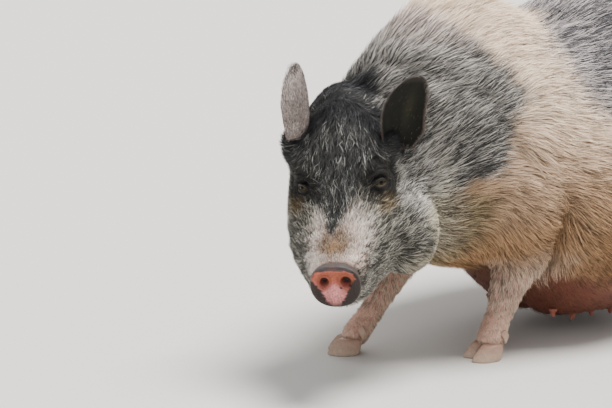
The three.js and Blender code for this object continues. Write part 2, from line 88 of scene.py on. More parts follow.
# Sections of the head: back, bottom, top, half width, waist height, powers below and above
HEAD = [
    [9, -34, 30, 37, -2, 2.3, 2.3],
    [28, -52, 34, 42, -5, 2.4, 2.3],
    [52, -65, 41, 51, -8, 2.4, 2.3],
    [78, -71, 52, 62, -10, 2.4, 2.3],
    [104, -74, 70, 72, -12, 2.4, 2.3],
    [128, -78, 96, 81, -12, 2.3, 2.25],
    [152, -82, 128, 87, -10, 2.2, 2.2],
    [180, -84, 158, 91, -6, 2.1, 2.1],
    [210, -82, 184, 94, 4, 2.1, 2],
    [242, -74, 202, 93, 16, 2.05, 1.9],
    [274, -54, 198, 84, 34, 2, 1.9],
    [302, -16, 156, 60, 52, 2, 2],
    [314, 44, 86, 16, 62, 2, 2],
]

# Mounds of flesh, as centre and radii: on the trunk (left, forward, up) and on the head (side, back, up)
TRUNK_MOUNDS = [
    ((112, 205, 318), (84, 96, 168)),
    ((108, -305, 318), (82, 122, 176)),
]
HEAD_MOUNDS = [
    ((84, 184, -22), (54, 68, 70)),
    ((-50, 178, -24), (38, 70, 52)),
    ((48, 158, 98), (27, 26, 23)),
    ((-48, 158, 98), (27, 26, 23)),
    ((62, 214, 106), (27, 26, 38)),
    ((-68, 216, 110), (30, 27, 44)),
]

# Leg joints: left, forward, up, radius along the body and across it; then the foot's middle and its turn
LEGS = {
    "fore_left": (
        [
            [104, 208, 330, 60, 44],
            [108, 180, 262, 72, 50],
            [106, 172, 205, 64, 47],
            [98, 186, 160, 50, 40],
            [90, 204, 122, 36, 33],
            [86, 212, 96, 32, 31],
            [83, 219, 70, 26, 28],
            [81, 229, 46, 29, 31],
            [82, 238, 28, 31, 32],
            [83, 243, 16, 29, 31],
        ],
        (79, 254, -20),
    ),
    "fore_right": (
        [
            [-104, 226, 330, 60, 44],
            [-108, 222, 262, 70, 50],
            [-104, 230, 205, 60, 46],
            [-97, 256, 160, 46, 39],
            [-90, 286, 124, 35, 33],
            [-86, 310, 98, 31, 30],
            [-84, 332, 72, 26, 28],
            [-85, 354, 48, 28, 29],
            [-88, 374, 29, 30, 31],
            [-90, 382, 16, 29, 30],
        ],
        (-98, 391, -44),
    ),
    "hind_left": (
        [
            [112, -286, 400, 96, 50],
            [116, -284, 310, 104, 56],
            [116, -290, 246, 82, 52],
            [114, -318, 196, 54, 42],
            [111, -352, 158, 37, 32],
            [110, -362, 128, 30, 27],
            [109, -358, 92, 25, 25],
            [108, -347, 56, 27, 29],
            [107, -337, 31, 30, 32],
            [106, -333, 17, 29, 31],
        ],
        (107, -321, 4),
    ),
    "hind_right": (
        [
            [-112, -262, 400, 96, 50],
            [-116, -250, 310, 104, 56],
            [-116, -250, 246, 82, 52],
            [-114, -270, 196, 54, 42],
            [-111, -298, 158, 37, 32],
            [-109, -300, 128, 30, 27],
            [-107, -290, 92, 25, 25],
            [-105, -272, 56, 27, 29],
            [-104, -260, 31, 30, 32],
            [-103, -256, 17, 29, 31],
        ],
        (-104, -244, -6),
    ),
}

# Tail: left, forward, up, radius
TAIL = [
    [0, -448, 470, 17],
    [2, -474, 452, 16],
    [6, -490, 412, 13],
    [12, -494, 360, 10],
    [16, -492, 310, 9],
    [17, -488, 268, 9],
    [16, -484, 240, 8],
]


def frame_spot(left, forward, up):
    """Millimetres left, forward and up to frame metres: (left + shift, shift - forward, up) / 1000."""
    return np.stack(np.broadcast_arrays(left + SHIFT[0], SHIFT[1] - np.asarray(forward), up), -1) / 1000


def design_spot(points):
    """Frame metres back to millimetres left, forward and up."""
    mm = np.asarray(points) * 1000 - SHIFT
    return mm * np.array([1, -1, 1])


def turn(axis, angle):
    """Rotation matrix about x, y or z."""
    return np.array(Matrix.Rotation(angle, 3, axis))


HEAD_TURN = turn("Z", HEAD_YAW) @ turn("X", HEAD_PITCH) @ turn("Y", HEAD_ROLL)
HEAD_ORIGIN = frame_spot(*SNOUT_AT)


def from_head(side, back, up):
    """Head millimetres to frame metres: origin + turn times (side, back, up)."""
    local = np.stack(np.broadcast_arrays(side, back, up), -1) / 1000
    return HEAD_ORIGIN + local @ HEAD_TURN.T


def to_head(points):
    """Frame metres to head millimetres."""
    return (np.asarray(points) - HEAD_ORIGIN) @ HEAD_TURN * 1000


def soft(value, low, high):
    """Smooth step: 0 below low, 1 above high, 3t^2 - 2t^3 between them."""
    t = np.clip((value - low) / (high - low), 0, 1)
    return t * t * (3 - 2 * t)


def bell(value, centre, width):
    """exp(-((value - centre) / width)^2)."""
    return np.exp(-(((value - centre) / width) ** 2))


def mixed(base, colour, share):
    """base + (colour - base) * share, with the share held between 0 and 1."""
    return base + (np.asarray(colour) - base) * np.clip(share, 0, 1)[..., None]


def leg_line(rows, up):
    """Left and forward of a leg's middle at each height, straight between its joints."""
    path = np.array(rows)[::-1]
    return np.interp(up, path[:, 2], path[:, 0]), np.interp(up, path[:, 2], path[:, 1])


def head_share(side, back, rise, behind=(205, 255), aside=(125, 160)):
    """1 on the head, falling smoothly to 0 behind it, to its sides and under it."""
    return (1 - soft(back, *behind)) * (1 - soft(np.abs(side), *aside)) * soft(rise, -125, -100)


def flow(rows, count):
    """Rows of sizes spread out smoothly: Catmull-Rom through them, read at `count` even steps."""
    rows = np.asarray(rows, float)
    last = len(rows) - 1
    place = np.linspace(0, last, count)
    i = np.minimum(place.astype(int), last - 1)
    t = (place - i)[:, None]
    padded = np.vstack([2 * rows[0] - rows[1], rows, 2 * rows[-1] - rows[-2]])
    p0, p1, p2, p3 = (padded[i + k] for k in range(4))
    slopes = (p2 - p0) / 2, (p3 - p1) / 2
    blend = (2 * t**3 - 3 * t**2 + 1) * p1 + (3 * t**2 - 2 * t**3) * p2
    return blend + (t**3 - 2 * t**2 + t) * slopes[0] + (t**3 - t**2) * slopes[1]


def pear(low, high, half, waist, power, crest, sectors):
    """Rings across a body part: side = half * cos^(2/p), height from the waist = reach * sin^(2/p)."""
    angle = np.linspace(0, 2 * np.pi, sectors, endpoint=False)
    c, s = np.cos(angle)[None], np.sin(angle)[None]
    p = np.where(s > 0, crest[:, None], power[:, None])
    side = np.sign(c) * np.abs(c) ** (2 / p) * half[:, None]
    reach = np.where(s > 0, (high - waist)[:, None], (waist - low)[:, None])
    return side, waist[:, None] + np.sign(s) * np.abs(s) ** (2 / p) * reach


def ring_faces(rows, columns, closed_row=True, start=0):
    """Quads of a grid of rows and columns, wrapped round along each row when it is closed."""
    i = np.arange(rows - 1)[:, None]
    k = np.arange(columns if closed_row else columns - 1)[None]
    near = i * columns + k
    far = i * columns + (k + 1) % columns
    return np.stack([near, far, far + columns, near + columns], -1).reshape(-1, 4) + start


def make_mesh(name, points, faces, materials=(), smooth=True):
    """A mesh object at the origin from an array of points and a list of arrays of faces."""
    mesh = bpy.data.meshes.new(name)
    points = np.asarray(points, np.float32)
    groups = [np.asarray(f) for f in faces if len(f)]
    loops = np.concatenate([g.ravel() for g in groups]).astype(np.int32)
    sizes = np.concatenate([np.full(len(g), g.shape[1]) for g in groups]).astype(np.int32)
    mesh.vertices.add(len(points))
    mesh.vertices.foreach_set("co", points.ravel())
    mesh.loops.add(len(loops))
    mesh.loops.foreach_set("vertex_index", loops)
    mesh.polygons.add(len(sizes))
    mesh.polygons.foreach_set("loop_start", np.concatenate([[0], np.cumsum(sizes)[:-1]]).astype(np.int32))
    mesh.polygons.foreach_set("loop_total", sizes)
    mesh.update(calc_edges=True)
    mesh.polygons.foreach_set("use_smooth", np.full(len(sizes), smooth))
    for material in materials:
        mesh.materials.append(material)
    thing = bpy.data.objects.new(name, mesh)
    bpy.context.scene.collection.objects.link(thing)
    return thing


def paint(mesh, name, colours):
    """Colours for each point, as a colour attribute."""
    layer = mesh.color_attributes.new(name, "FLOAT_COLOR", "POINT")
    full = np.ones((len(colours), 4), np.float32)
    full[:, :3] = colours
    layer.data.foreach_set("color", full.ravel())


class Pile:
    """Closed surfaces gathered into one list of points and faces."""

    def __init__(self):
        self.points, self.quads, self.triangles, self.count = [], [], [], 0

    def tube(self, rings):
        """Rings (n, m, 3) skinned in order, each end closed by a fan to its middle."""
        n, m = rings.shape[:2]
        ends = [rings[0].mean(0), rings[-1].mean(0)]
        self.points += [rings.reshape(-1, 3), np.array(ends)]
        self.quads.append(ring_faces(n, m, start=self.count))
        k = np.arange(m)
        near, far = self.count + k, self.count + (k + 1) % m
        self.triangles.append(np.stack([far, near, np.full(m, self.count + n * m)], -1))
        near, far = near + (n - 1) * m, far + (n - 1) * m
        self.triangles.append(np.stack([near, far, np.full(m, self.count + n * m + 1)], -1))
        self.count += n * m + 2

    def ball(self, place, centre, radii, count=28):
        """Ellipsoid: centre + radii * (cos a sin b, sin a sin b, cos b), put in the frame by `place`."""
        b = np.linspace(0.12, np.pi - 0.12, count)[:, None]
        a = np.linspace(0, 2 * np.pi, 2 * count, endpoint=False)[None]
        x = centre[0] + radii[0] * np.cos(a) * np.sin(b)
        y = centre[1] + radii[1] * np.sin(a) * np.sin(b)
        z = centre[2] + radii[2] * np.cos(b)
        self.tube(place(x, y, np.broadcast_to(z, x.shape)))

    def mesh(self, name, *materials):
        """The gathered surfaces as one mesh object."""
        faces = [np.concatenate(self.quads), np.concatenate(self.triangles)]
        return make_mesh(name, np.concatenate(self.points), faces, materials)


def torso_rings(count=110, sectors=64):
    """The trunk's sections, drawn in by the coat's depth, each turned by its yaw."""
    forward, left, yaw, low, high, half, waist, power, crest = flow(TORSO, count).T
    ahead = soft(forward, -60, 200)
    crest_depth = DEPTH["body"] + (DEPTH["crest"] - DEPTH["body"]) * ahead
    side, up = pear(
        low + DEPTH["belly"], high - crest_depth, half - DEPTH["body"], waist, power, crest, sectors
    )
    yaw = np.radians(yaw)[:, None]
    return frame_spot(left[:, None] + side * np.cos(yaw), forward[:, None] - side * np.sin(yaw), up)


def head_rings(count=90, sectors=64):
    """The head's sections, drawn in by the hair's depth: thin on the face, deeper on the nape."""
    back, low, high, half, waist, power, crest = flow(HEAD, count).T
    depth = DEPTH["face"] + (DEPTH["nape"] - DEPTH["face"]) * soft(back, 150, 260)
    depth = depth * soft(back, -20, 60)
    side, up = pear(low + depth, high - depth, half - depth, waist, power, crest, sectors)
    return from_head(side, back[:, None], up)


def tube_rings(rows, depth, count=44, sectors=32):
    """Rings square to a path: centre + along * cos a * r1 + across * sin a * r2, with across kept level."""
    rows = flow(rows, count)
    centre = frame_spot(rows[:, 0], rows[:, 1], rows[:, 2]) * 1000
    down = np.gradient(centre, axis=0)
    down /= np.linalg.norm(down, axis=1)[:, None]
    across = np.array([1.0, 0, 0]) - down[:, :1] * down
    across /= np.linalg.norm(across, axis=1)[:, None]
    along = np.cross(down, across)
    r1 = rows[:, 3] - depth
    r2 = rows[:, -1] - depth
    a = np.linspace(0, 2 * np.pi, sectors, endpoint=False)
    ring = along[:, None] * (np.cos(a)[None] * r1[:, None])[..., None]
    ring = ring + across[:, None] * (np.sin(a)[None] * r2[:, None])[..., None]
    return (centre[:, None] + ring) / 1000


def build_body():
    """Trunk, neck, head, legs and tail as overlapping closed surfaces, made one by a fine remesh."""
    pile = Pile()
    pile.tube(torso_rings())
    pile.tube(head_rings()[:, ::-1])
    for centre, radii in TRUNK_MOUNDS:
        drawn_in = np.array(radii) - DEPTH["body"]
        for way in (-1, 1):
            pile.ball(frame_spot, (way * centre[0], centre[1], centre[2]), drawn_in)
    for centre, radii in HEAD_MOUNDS:
        pile.ball(from_head, centre, np.array(radii) - DEPTH["face"] - 2)
    for rows, _ in LEGS.values():
        pile.tube(tube_rings(rows, DEPTH["leg"]))
    pile.tube(tube_rings([[*row[:3], row[3], row[3]] for row in TAIL], DEPTH["tail"] - 2))
    rough = pile.mesh("rough")
    whole = rough.modifiers.new("whole", "REMESH")
    whole.mode = "VOXEL"
    whole.voxel_size = REMESH_CELL
    graph = bpy.context.evaluated_depsgraph_get()
    mesh = bpy.data.meshes.new_from_object(rough.evaluated_get(graph))
    bpy.data.objects.remove(rough)
    return mesh


def mesh_points(mesh):
    """A mesh's points as an array."""
    flat = np.empty(len(mesh.vertices) * 3, np.float32)
    mesh.vertices.foreach_get("co", flat)
    return flat.reshape(-1, 3).astype(float)


def mesh_edges(mesh):
    """A mesh's edges as pairs of point numbers."""
    flat = np.empty(len(mesh.edges) * 2, np.int32)
    mesh.edges.foreach_get("vertices", flat)
    return flat.reshape(-1, 2)


def around(values, edges, count):
    """Mean of each point's neighbours along the edges."""
    a, b = edges.T
    total = np.stack(
        [
            np.bincount(a, values[b, k], count) + np.bincount(b, values[a, k], count)
            for k in range(values.shape[1])
        ],
        -1,
    )
    number = np.bincount(a, minlength=count) + np.bincount(b, minlength=count)
    return total / np.maximum(number, 1)[:, None]


def smoothed(points, edges, rounds, weight, back=0.0):
    """Points moved to their neighbours' mean by `weight`, then out by `weight * back` to keep the volume."""
    weight = np.broadcast_to(weight, len(points))[:, None]
    for _ in range(rounds):
        points = points + weight * (around(points, edges, len(points)) - points)
        if back:
            points = points - weight * back * (around(points, edges, len(points)) - points)
    return points


def point_normals(points, triangles):
    """Unit normals at points: the sum of the cross products of the triangles round each."""
    a, b, c = (points[triangles[:, k]] for k in range(3))
    cross = np.cross(b - a, c - a)
    total = np.zeros_like(points)
    for k in range(3):
        for axis in range(3):
            total[:, axis] += np.bincount(triangles[:, k], cross[:, axis], len(points))
    return total / np.maximum(np.linalg.norm(total, axis=1), 1e-12)[:, None]


def mesh_triangles(mesh):
    """A mesh's triangles as point numbers."""
    mesh.calc_loop_triangles()
    flat = np.empty(len(mesh.loop_triangles) * 3, np.int32)
    mesh.loop_triangles.foreach_get("vertices", flat)
    return flat.reshape(-1, 3)


def srgb(red, green, blue):
    """A colour in 0 to 255 as linear light: c / 12.92 where dark, else ((c + 0.055) / 1.055)^2.4."""
    c = np.array([red, green, blue]) / 255
    return np.where(c <= 0.04045, c / 12.92, ((c + 0.055) / 1.055) ** 2.4)


def plane_waves(size, seed):
    """Seven waves about `size` mm long: their scattered unit ways, turns per mm and phases."""
    waves = np.random.default_rng(100 + seed)
    ways = waves.normal(size=(7, 3))
    ways /= np.linalg.norm(ways, axis=1)[:, None]
    return ways, 2 * np.pi / size * waves.uniform(0.7, 1.4, 7), waves.uniform(0, 6.28, 7)


def ripple(points, size, seed=0):
    """Soft noise from about -1 to 1: the sum of the cosines of seven plane waves, over 3.2."""
    ways, turns, phases = plane_waves(size, seed)
    return np.cos(points * 1000 @ (ways * turns[:, None]).T + phases).sum(-1) / 3.2


def ripple_slope(points, size, seed=0):
    """The downhill way of `ripple`, as a vector a few tenths of `size` long, in millimetres."""
    ways, turns, phases = plane_waves(size, seed)
    return np.sin(points * 1000 @ (ways * turns[:, None]).T + phases) @ ways * size / 6.28


def refined(mesh, passes):
    """Cuts each chosen edge in half, once for each pass, to leave the face and feet finer than the body."""
    net = bmesh.new()
    net.from_mesh(mesh)
    for chosen in passes:
        spots = np.array([v.co for v in net.verts])
        inside = chosen(spots)
        net.verts.index_update()
        edges = [e for e in net.edges if inside[e.verts[0].index] and inside[e.verts[1].index]]
        bmesh.ops.subdivide_edges(net, edges=edges, cuts=1, use_grid_fill=True)
    net.to_mesh(mesh)
    net.free()


def near_head(points, reach):
    """True for points of the head less than `reach` behind the disc."""
    side, back, rise = to_head(points).T
    return (back < reach) & (np.abs(side) < 150) & (rise > -112) & (rise < 220)


def fine_parts(points):
    """The head and the feet."""
    return near_head(points, 235) | (points[:, 2] < 0.06)


def finest_parts(points):
    """The muzzle and the eyes' surroundings."""
    return near_head(points, 172)


def blend_weight(points):
    """How much to smooth: most where a leg meets the trunk, and where the head meets the neck."""
    left, forward, up = design_spot(points).T
    side, back, rise = to_head(points).T
    weight = 0.45 * bell(back, 285, 55) * (np.abs(side) < 230)
    for rows, _ in LEGS.values():
        hip = rows[1]
        there = bell(forward, hip[1], 130) * (left * hip[0] > 0)
        weight = np.maximum(weight, 0.5 * there * bell(up, 225, 85))
    jowl = bell(back, 180, 80) * soft(np.abs(side), 30, 70) * (1 - soft(rise, 40, 90))
    return np.clip(np.maximum(weight, 0.3 * jowl * near_head(points, 300)), 0, 0.5)


def eye_frame(way):
    """Where an eye sits: its centre, and axes towards the temple, up and straight out of the head."""
    out = HEAD_TURN @ np.array([0.63 * way, -0.64, 0.44])
    out /= np.linalg.norm(out)
    up = HEAD_TURN @ np.array([0, 0.25, 1.0])
    up -= out * (up @ out)
    up /= np.linalg.norm(up)
    return from_head(*EYES[way]), np.array([np.cross(up, out) * way, up, out])


def eye_places(points, eyes):
    """Each point in the nearer eye's own axes, in millimetres."""
    places = [(points - centre) @ axes.T * 1000 for centre, axes in eyes]
    nearer = np.linalg.norm(places[0], axis=1) < np.linalg.norm(places[1], axis=1)
    return np.where(nearer[:, None], places[0], places[1])


def relief(points, normals, eyes):
    """Folds and furrows, as millimetres along the normal: cosines of the distance, faded by bells."""
    left, forward, up = design_spot(points).T
    side, back, rise = to_head(points).T
    face = near_head(points, 260).astype(float)
    height = np.zeros(len(points))
    # The closed mouth, with a lip above and below it
    line = -37 + 0.13 * back - 6 * bell(back, 40, 22)
    along = soft(back, -5, 12) * (1 - soft(back, 92, 122))
    lips = -5 * bell(rise, line, 3) + 2.2 * bell(rise, line + 9, 7) + 1.6 * bell(rise, line - 8, 6)
    height += face * along * lips
    # Wrinkles over the nose, closest behind the disc
    over = soft(rise, 0, 22) * soft(back, 8, 16) * (1 - soft(back, 80, 120))
    height += face * over * 0.5 * np.cos(2 * np.pi * (back - 0.004 * side**2) / 11.5) * (1.3 - back / 110)
    height -= face * 3.5 * bell(back, 11, 4)
    # Ringed folds of skin round the eyes, and a bag under each
    across, lift, _ = eye_places(points, eyes).T
    reach = np.hypot(across / 1.25, lift + 2)
    folds = np.cos(2 * np.pi * (reach + 1.2 * ripple(points, 26)) / 8.6)
    height += face * 1.9 * folds * bell(reach, 24, 10) * (back < 200)
    height += face * 3 * bell(reach, 17, 5) * soft(lift, -2, 6)
    # Furrows between the brows and on the forehead
    brow = bell(back, 152, 30) * soft(rise, 78, 105) * (1 - soft(np.abs(side), 30, 46))
    height += face * brow * 1.8 * np.cos(2 * np.pi * (side + 3 * np.sin(back / 9)) / 17)
    # Cheek folds that sweep back from the corner of the mouth
    cheek = bell(back, 135, 34) * bell(rise, -18, 34) * soft(np.abs(side), 50, 66)
    height += face * cheek * 2.2 * np.cos(2 * np.pi * (back + 0.5 * rise + 5 * ripple(points, 50, 1)) / 27)
    # Fat rolls of the neck and throat
    neck = bell(back, 300, 45) * (1 - face) * soft(up, 150, 210) * (forward > 230)
    height += neck * 4 * np.cos(2 * np.pi * (back + 8 * ripple(points, 120, 2)) / 46)
    # The cleft between the halves of the udder, and between the hams
    under = (1 - soft(up, 60, 150)) * soft(forward, -260, -180) * (1 - soft(forward, 60, 130))
    height -= 9 * under * bell(left, 0, 16)
    height -= 16 * bell(left, 0, 20) * (1 - soft(forward, -440, -400)) * bell(up, 330, 70)
    # Elbow and stifle creases and a slack, uneven flank
    for leg, (rows, _) in LEGS.items():
        line = leg_line(rows, up)[1]
        if leg.startswith("fore"):
            line = line + np.interp(up, [131, 192, 230, 300], [-58, -10, -2, 6])
            tall = soft(up, 105, 140) * (1 - soft(up, 215, 300))
        else:
            line = line + np.interp(up, [131, 192, 246, 310], [34, 44, 72, 96])
            tall = soft(up, 120, 160) * (1 - soft(up, 240, 330))
        outer = soft(left * np.sign(rows[0][0]), 60, 95)
        behind = -1 if leg.startswith("fore") else 1
        height += outer * tall * (-20 * bell(forward, line, 9) + 8 * bell(forward, line + 28 * behind, 20))
    trunk = soft(up, 120, 200) * (1 - face)
    height += trunk * (2.4 * ripple(points, 150, 3) + 1.0 * ripple(points, 60, 4))
    # Knee and fetlock wrinkles
    low = (up < 150) & (np.abs(left) > 55)
    height += low * 0.8 * np.cos(2 * np.pi * (up + 3 * ripple(points, 30, 5)) / 13) * soft(up, 32, 50)
    return height


def make_skin():
    """The body's mesh, cut finer on the face, smoothed at its joins and given its folds."""
    mesh = build_body()
    points, edges = mesh_points(mesh), mesh_edges(mesh)
    points = smoothed(points, edges, 5, 0.5, 1.02)
    points = smoothed(points, edges, 22, blend_weight(points))
    mesh.vertices.foreach_set("co", points.astype(np.float32).ravel())
    refined(mesh, (fine_parts, finest_parts))
    mesh.update()
    points, edges, triangles = mesh_points(mesh), mesh_edges(mesh), mesh_triangles(mesh)
    points = smoothed(points, edges, 4, 0.5)
    normals = point_normals(points, triangles)
    eyes = [eye_frame(way) for way in (1, -1)]
    points = points + normals * relief(points, normals, eyes)[:, None] / 1000
    # The sockets: skin near each eye sinks behind its front
    for centre, axes in eyes:
        across, lift, out = ((points - centre) @ axes.T * 1000).T
        reach = np.hypot(across / 1.2, lift)
        sink = (1 - soft(reach, 8.5, 15)) * (np.abs(out) < 40)
        points = points - axes[2] * (sink * np.maximum(out - 1.5, 0))[:, None] / 1000
    mesh.vertices.foreach_set("co", points.astype(np.float32).ravel())
    mesh.polygons.foreach_set("use_smooth", np.ones(len(mesh.polygons), bool))
    mesh.update()
    skin = bpy.data.objects.new("skin", mesh)
    mesh.name = "skin"
    bpy.context.scene.collection.objects.link(skin)
    return skin, points, edges, triangles, eyes


# Hair by place: length, height of the tips over the skin and width in mm, and tufts per square metre
HAIR_SIZES = {
    "body": (46, 12, 0.92, 156000),
    "crest": (54, 27, 0.8, 210000),
    "neck": (40, 10, 0.66, 290000),
    "legs": (16, 3.2, 0.6, 250000),
    "feet": (9, 1.7, 0.42, 420000),
    "elbows": (40, 13, 0.7, 300000),
    "tail": (34, 4.5, 0.8, 420000),
    "belly": (20, 4.0, 0.55, 140000),
    "head": (21, 5.5, 0.5, 430000),
    "brow": (24, 8, 0.5, 400000),
    "crown": (14, 2.6, 0.6, 420000),
    "muzzle": (7.5, 2.2, 0.46, 760000),
    "chin": (15, 7.0, 0.5, 520000),
    "eyes": (8, 2.0, 0.55, 420000),
}

# Where the dark neck and the grey saddle end, as height against distance forward
NECK_EDGE = [(270, 400), (281, 386), (289, 358), (303, 330), (327, 312), (357, 296), (388, 286)]
NECK_EDGE += [(426, 280), (466, 290), (499, 312), (520, 344), (535, 367), (560, 400)]
SADDLE_EDGE = [(150, -330), (220, -230), (280, -90), (330, 50), (378, 140), (405, 180), (435, 200)]
SADDLE_EDGE += [(464, 205), (492, 195), (513, 165), (524, 130), (600, 100)]


class Marks:
    """Paint at each point: light hair, dark hair, the share of dark hair, skin, and the share left bare."""

    def __init__(self, count):
        self.light = np.tile(srgb(252, 228, 204), (count, 1))
        self.dark = np.tile(srgb(150, 128, 108), (count, 1))
        self.skin = np.tile(srgb(214, 172, 150), (count, 1))
        self.share = np.full(count, 0.10)
        self.bare = np.zeros(count)

    def lay(self, where, light=None, dark=None, skin=None, share=None):
        """Moves each given value to its new one: value + (new - value) * where."""
        if light is not None:
            self.light = mixed(self.light, srgb(*light), where)
        if dark is not None:
            self.dark = mixed(self.dark, srgb(*dark), where)
        if skin is not None:
            self.skin = mixed(self.skin, srgb(*skin), where)
        if share is not None:
            self.share = self.share + where * (share - self.share)

    def darken(self, amount):
        """Adds to the share of dark hair."""
        self.share = self.share + amount

    def strip(self, where):
        """Leaves at least this share of the skin bare."""
        self.bare = np.maximum(self.bare, where)


def drift(points):
    """A slow wander in mm that frays the edges of the markings: 12 and 6 times two ripples."""
    return 12 * ripple(points, 90, 6) + 6 * ripple(points, 30, 7)


def face_share(points):
    """1 where the head's markings lie, 0 elsewhere, with a frayed edge over the nape."""
    side, back, rise = to_head(points).T
    return head_share(side, back + 0.3 * drift(points), rise, (214, 252), (132, 165))


def mark_body(marks, points):
    """Warm low flank, darker downwards partly as painted shade, with painted shadow behind the forelegs; grey
    saddle, rump and tail; dark roan neck with a pale crest, partly painted highlight; yellowish throat,
    darkened as painted shade.
    """
    _, forward, up = design_spot(points).T
    wander = drift(points)
    # Warm tint low on the shoulder and flank, darker downwards: the hair's own warmer colour and painted
    # shade under the body
    warm_and_shade_low = 1 - soft(up + wander, 190, 455)
    marks.lay(0.94 * warm_and_shade_low, light=(181, 139, 96), dark=(78, 56, 38))
    marks.lay(0.88 * warm_and_shade_low, skin=(136, 94, 70))
    marks.darken(0.25 * warm_and_shade_low)
    # Painted shadow low on the flank behind each foreleg
    shaded = (1 - soft(forward, 60, 140)) * (1 - soft(up + wander, 230, 400)) * soft(forward, -300, -120)
    marks.lay(0.75 * shaded, light=(138, 102, 68), dark=(54, 36, 22))
    # Saddle, rump and tail
    edge = np.interp(up, *np.array(SADDLE_EDGE).T)
    saddle = 1 - soft(forward + 1.6 * wander, edge - 70, edge + 24)
    deeper = soft(edge - forward, 0, 240)
    grey = 0.26 + 0.16 * deeper + 0.34 * soft(up, 300, 520) + 0.14 * ripple(points, 50, 17)
    marks.lay(saddle, light=(204, 196, 196), dark=(56, 56, 62), share=grey)
    marks.lay(saddle * soft(up, 260, 400), skin=(120, 108, 106))
    marks.lay(tail_share(points), dark=(40, 38, 40), share=0.72)
    # Neck, darkest at its hind edge and palest on the crest, whose pale hair also carries a painted highlight
    # from the top light
    edge = np.interp(up, *np.array(NECK_EDGE).T)
    neck = soft(forward + wander, edge - 14, edge + 12) * soft(up, 262, 286)
    crest = soft(up - 0.12 * (forward - 300), 470, 530)
    roan = 0.61 + 0.1 * ripple(points, 60, 16) - 0.22 * crest
    marks.lay(neck, light=(206, 201, 194), dark=(36, 37, 40), skin=(58, 57, 58), share=roan)
    marks.darken(0.1 * neck * (1 - crest) * bell(forward, edge + 34, 30))
    marks.lay(neck * crest, light=(250, 232, 224), dark=(110, 96, 94), skin=(160, 136, 130))
    # Yellowish throat hair, darkened as painted shade under the jaw
    throat = (1 - soft(up, 262, 290)) * soft(forward, 300, 345) * (1 - face_share(points))
    marks.lay(throat, light=(192, 172, 136), dark=(62, 54, 38), share=0.42 + 0.25 * ripple(points, 40, 24))


def mark_legs(marks, points):
    """Legs pink through thin hair and greyer in front, partly as painted shade, and a bare belly, darkened
    partly as painted shade under the body, that ends round each leg.
    """
    left, forward, up = design_spot(points).T
    wander = drift(points)
    line = 92 + 0.34 * np.clip(forward + 20, 0, 400)
    belly = (1 - soft(up + wander, line - 22, line + 24)) * (forward < 240) * (np.abs(left) < 230)
    gap = np.full(len(points), 999.0)
    front = np.zeros(len(points))
    for rows, _ in LEGS.values():
        middle, along = leg_line(rows, up)
        ahead = forward - along
        gap = np.minimum(gap, np.hypot(ahead, left - middle))
        front = np.maximum(front, (left * rows[0][0] > 0) * soft(ahead, 4, 24) * (ahead < 60))
        middle, along = leg_line(rows[3:], up)
        belly = belly * soft(np.hypot(forward - along, left - middle), 48, 66)
    leg = (1 - soft(up, 120, 215)) * (1 - soft(gap + 0.5 * wander, 58, 92))
    # Greyer hair on the front of each leg, partly painted shade on the side turned from the light
    grey = 0.12 + 0.12 * ripple(points, 40, 8) + 0.35 * front * soft(up, 60, 120)
    marks.lay(leg, light=(232, 206, 184), dark=(112, 100, 92), skin=(206, 158, 142), share=grey)
    # Bare belly, darkened partly as painted shade under the body
    marks.lay(belly, light=(136, 94, 72), dark=(74, 48, 38), skin=(106, 60, 47))
    marks.strip(belly)


def mark_cheeks(marks, points):
    """Grey cheeks with a cream fringe behind and below them, paler at the left temple."""
    side, back, rise = to_head(points).T
    head = face_share(points)
    grey = 0.77 + 0.1 * ripple(points, 34, 15)
    marks.lay(head, light=(204, 200, 188), dark=(32, 33, 33), skin=(56, 54, 53), share=grey)
    behind = bell(side, 128, 17) * soft(back, 130, 170)
    below = bell(rise, -52, 20) * soft(side, 66, 92)
    fringe = head * np.maximum(behind, below)
    marks.lay(fringe, light=(222, 212, 186))
    marks.darken(-0.36 * fringe)
    temple = head * soft(side, 62, 84) * soft(back, 126, 156) * soft(rise, 0, 36) * (1 - soft(rise, 100, 124))
    marks.lay(temple, light=(216, 212, 206))
    marks.darken(-0.16 * temple)


def mark_muzzle(marks, points):
    """White muzzle with a pink patch at the lip, grey jaw, and a beige bridge with a tan stain."""
    side, back, rise = to_head(points).T
    wander = drift(points)
    head = face_share(points)
    flecks = 7 * ripple(points, 11, 18)
    white = head * (1 - soft(back + 0.5 * wander + flecks - 0.12 * rise, 72, 108))
    white = white * soft(rise + 0.3 * wander, -10, 10)
    edge = 24 + 0.22 * back
    white = white * soft(side + 0.3 * wander + flecks, -48, -30)
    white = white * (1 - soft(side + 0.2 * wander + flecks, edge - 6, edge + 14))
    white = white * soft(eye_reach(side, back, rise) + flecks, 34, 54)
    thin = 0.14 + 0.16 * soft(back, 70, 110) + 0.1 * ripple(points, 14, 19)
    marks.lay(white, light=(252, 245, 238), dark=(140, 122, 112), skin=(226, 186, 172), share=thin)
    blush = 0.7 * head * bell(side, 43, 9) * bell(back, 24, 15) * bell(rise, 22, 15)
    marks.lay(blush, light=(240, 186, 162), skin=(222, 150, 130))
    jaw = head * (1 - soft(rise + 0.3 * wander, -20, -4)) * (1 - soft(back, 90, 130)) * soft(side, -30, 10)
    marks.lay(jaw, dark=(52, 50, 47), skin=(104, 96, 90), share=0.66)
    above = head * soft(rise, 14, 28)
    bridge = above * np.clip(1.5 * bell(side, -3, 26) * bell(back, 46, 32), 0, 1)
    marks.lay(bridge, light=(160, 138, 120), dark=(70, 58, 49), skin=(100, 80, 66), share=0.5)
    stain = 0.75 * above * bell(side, -2, 13) * bell(back, 36, 12) * (0.6 + 0.5 * ripple(points, 9, 14))
    marks.lay(stain, light=(206, 158, 100), skin=(190, 134, 84))


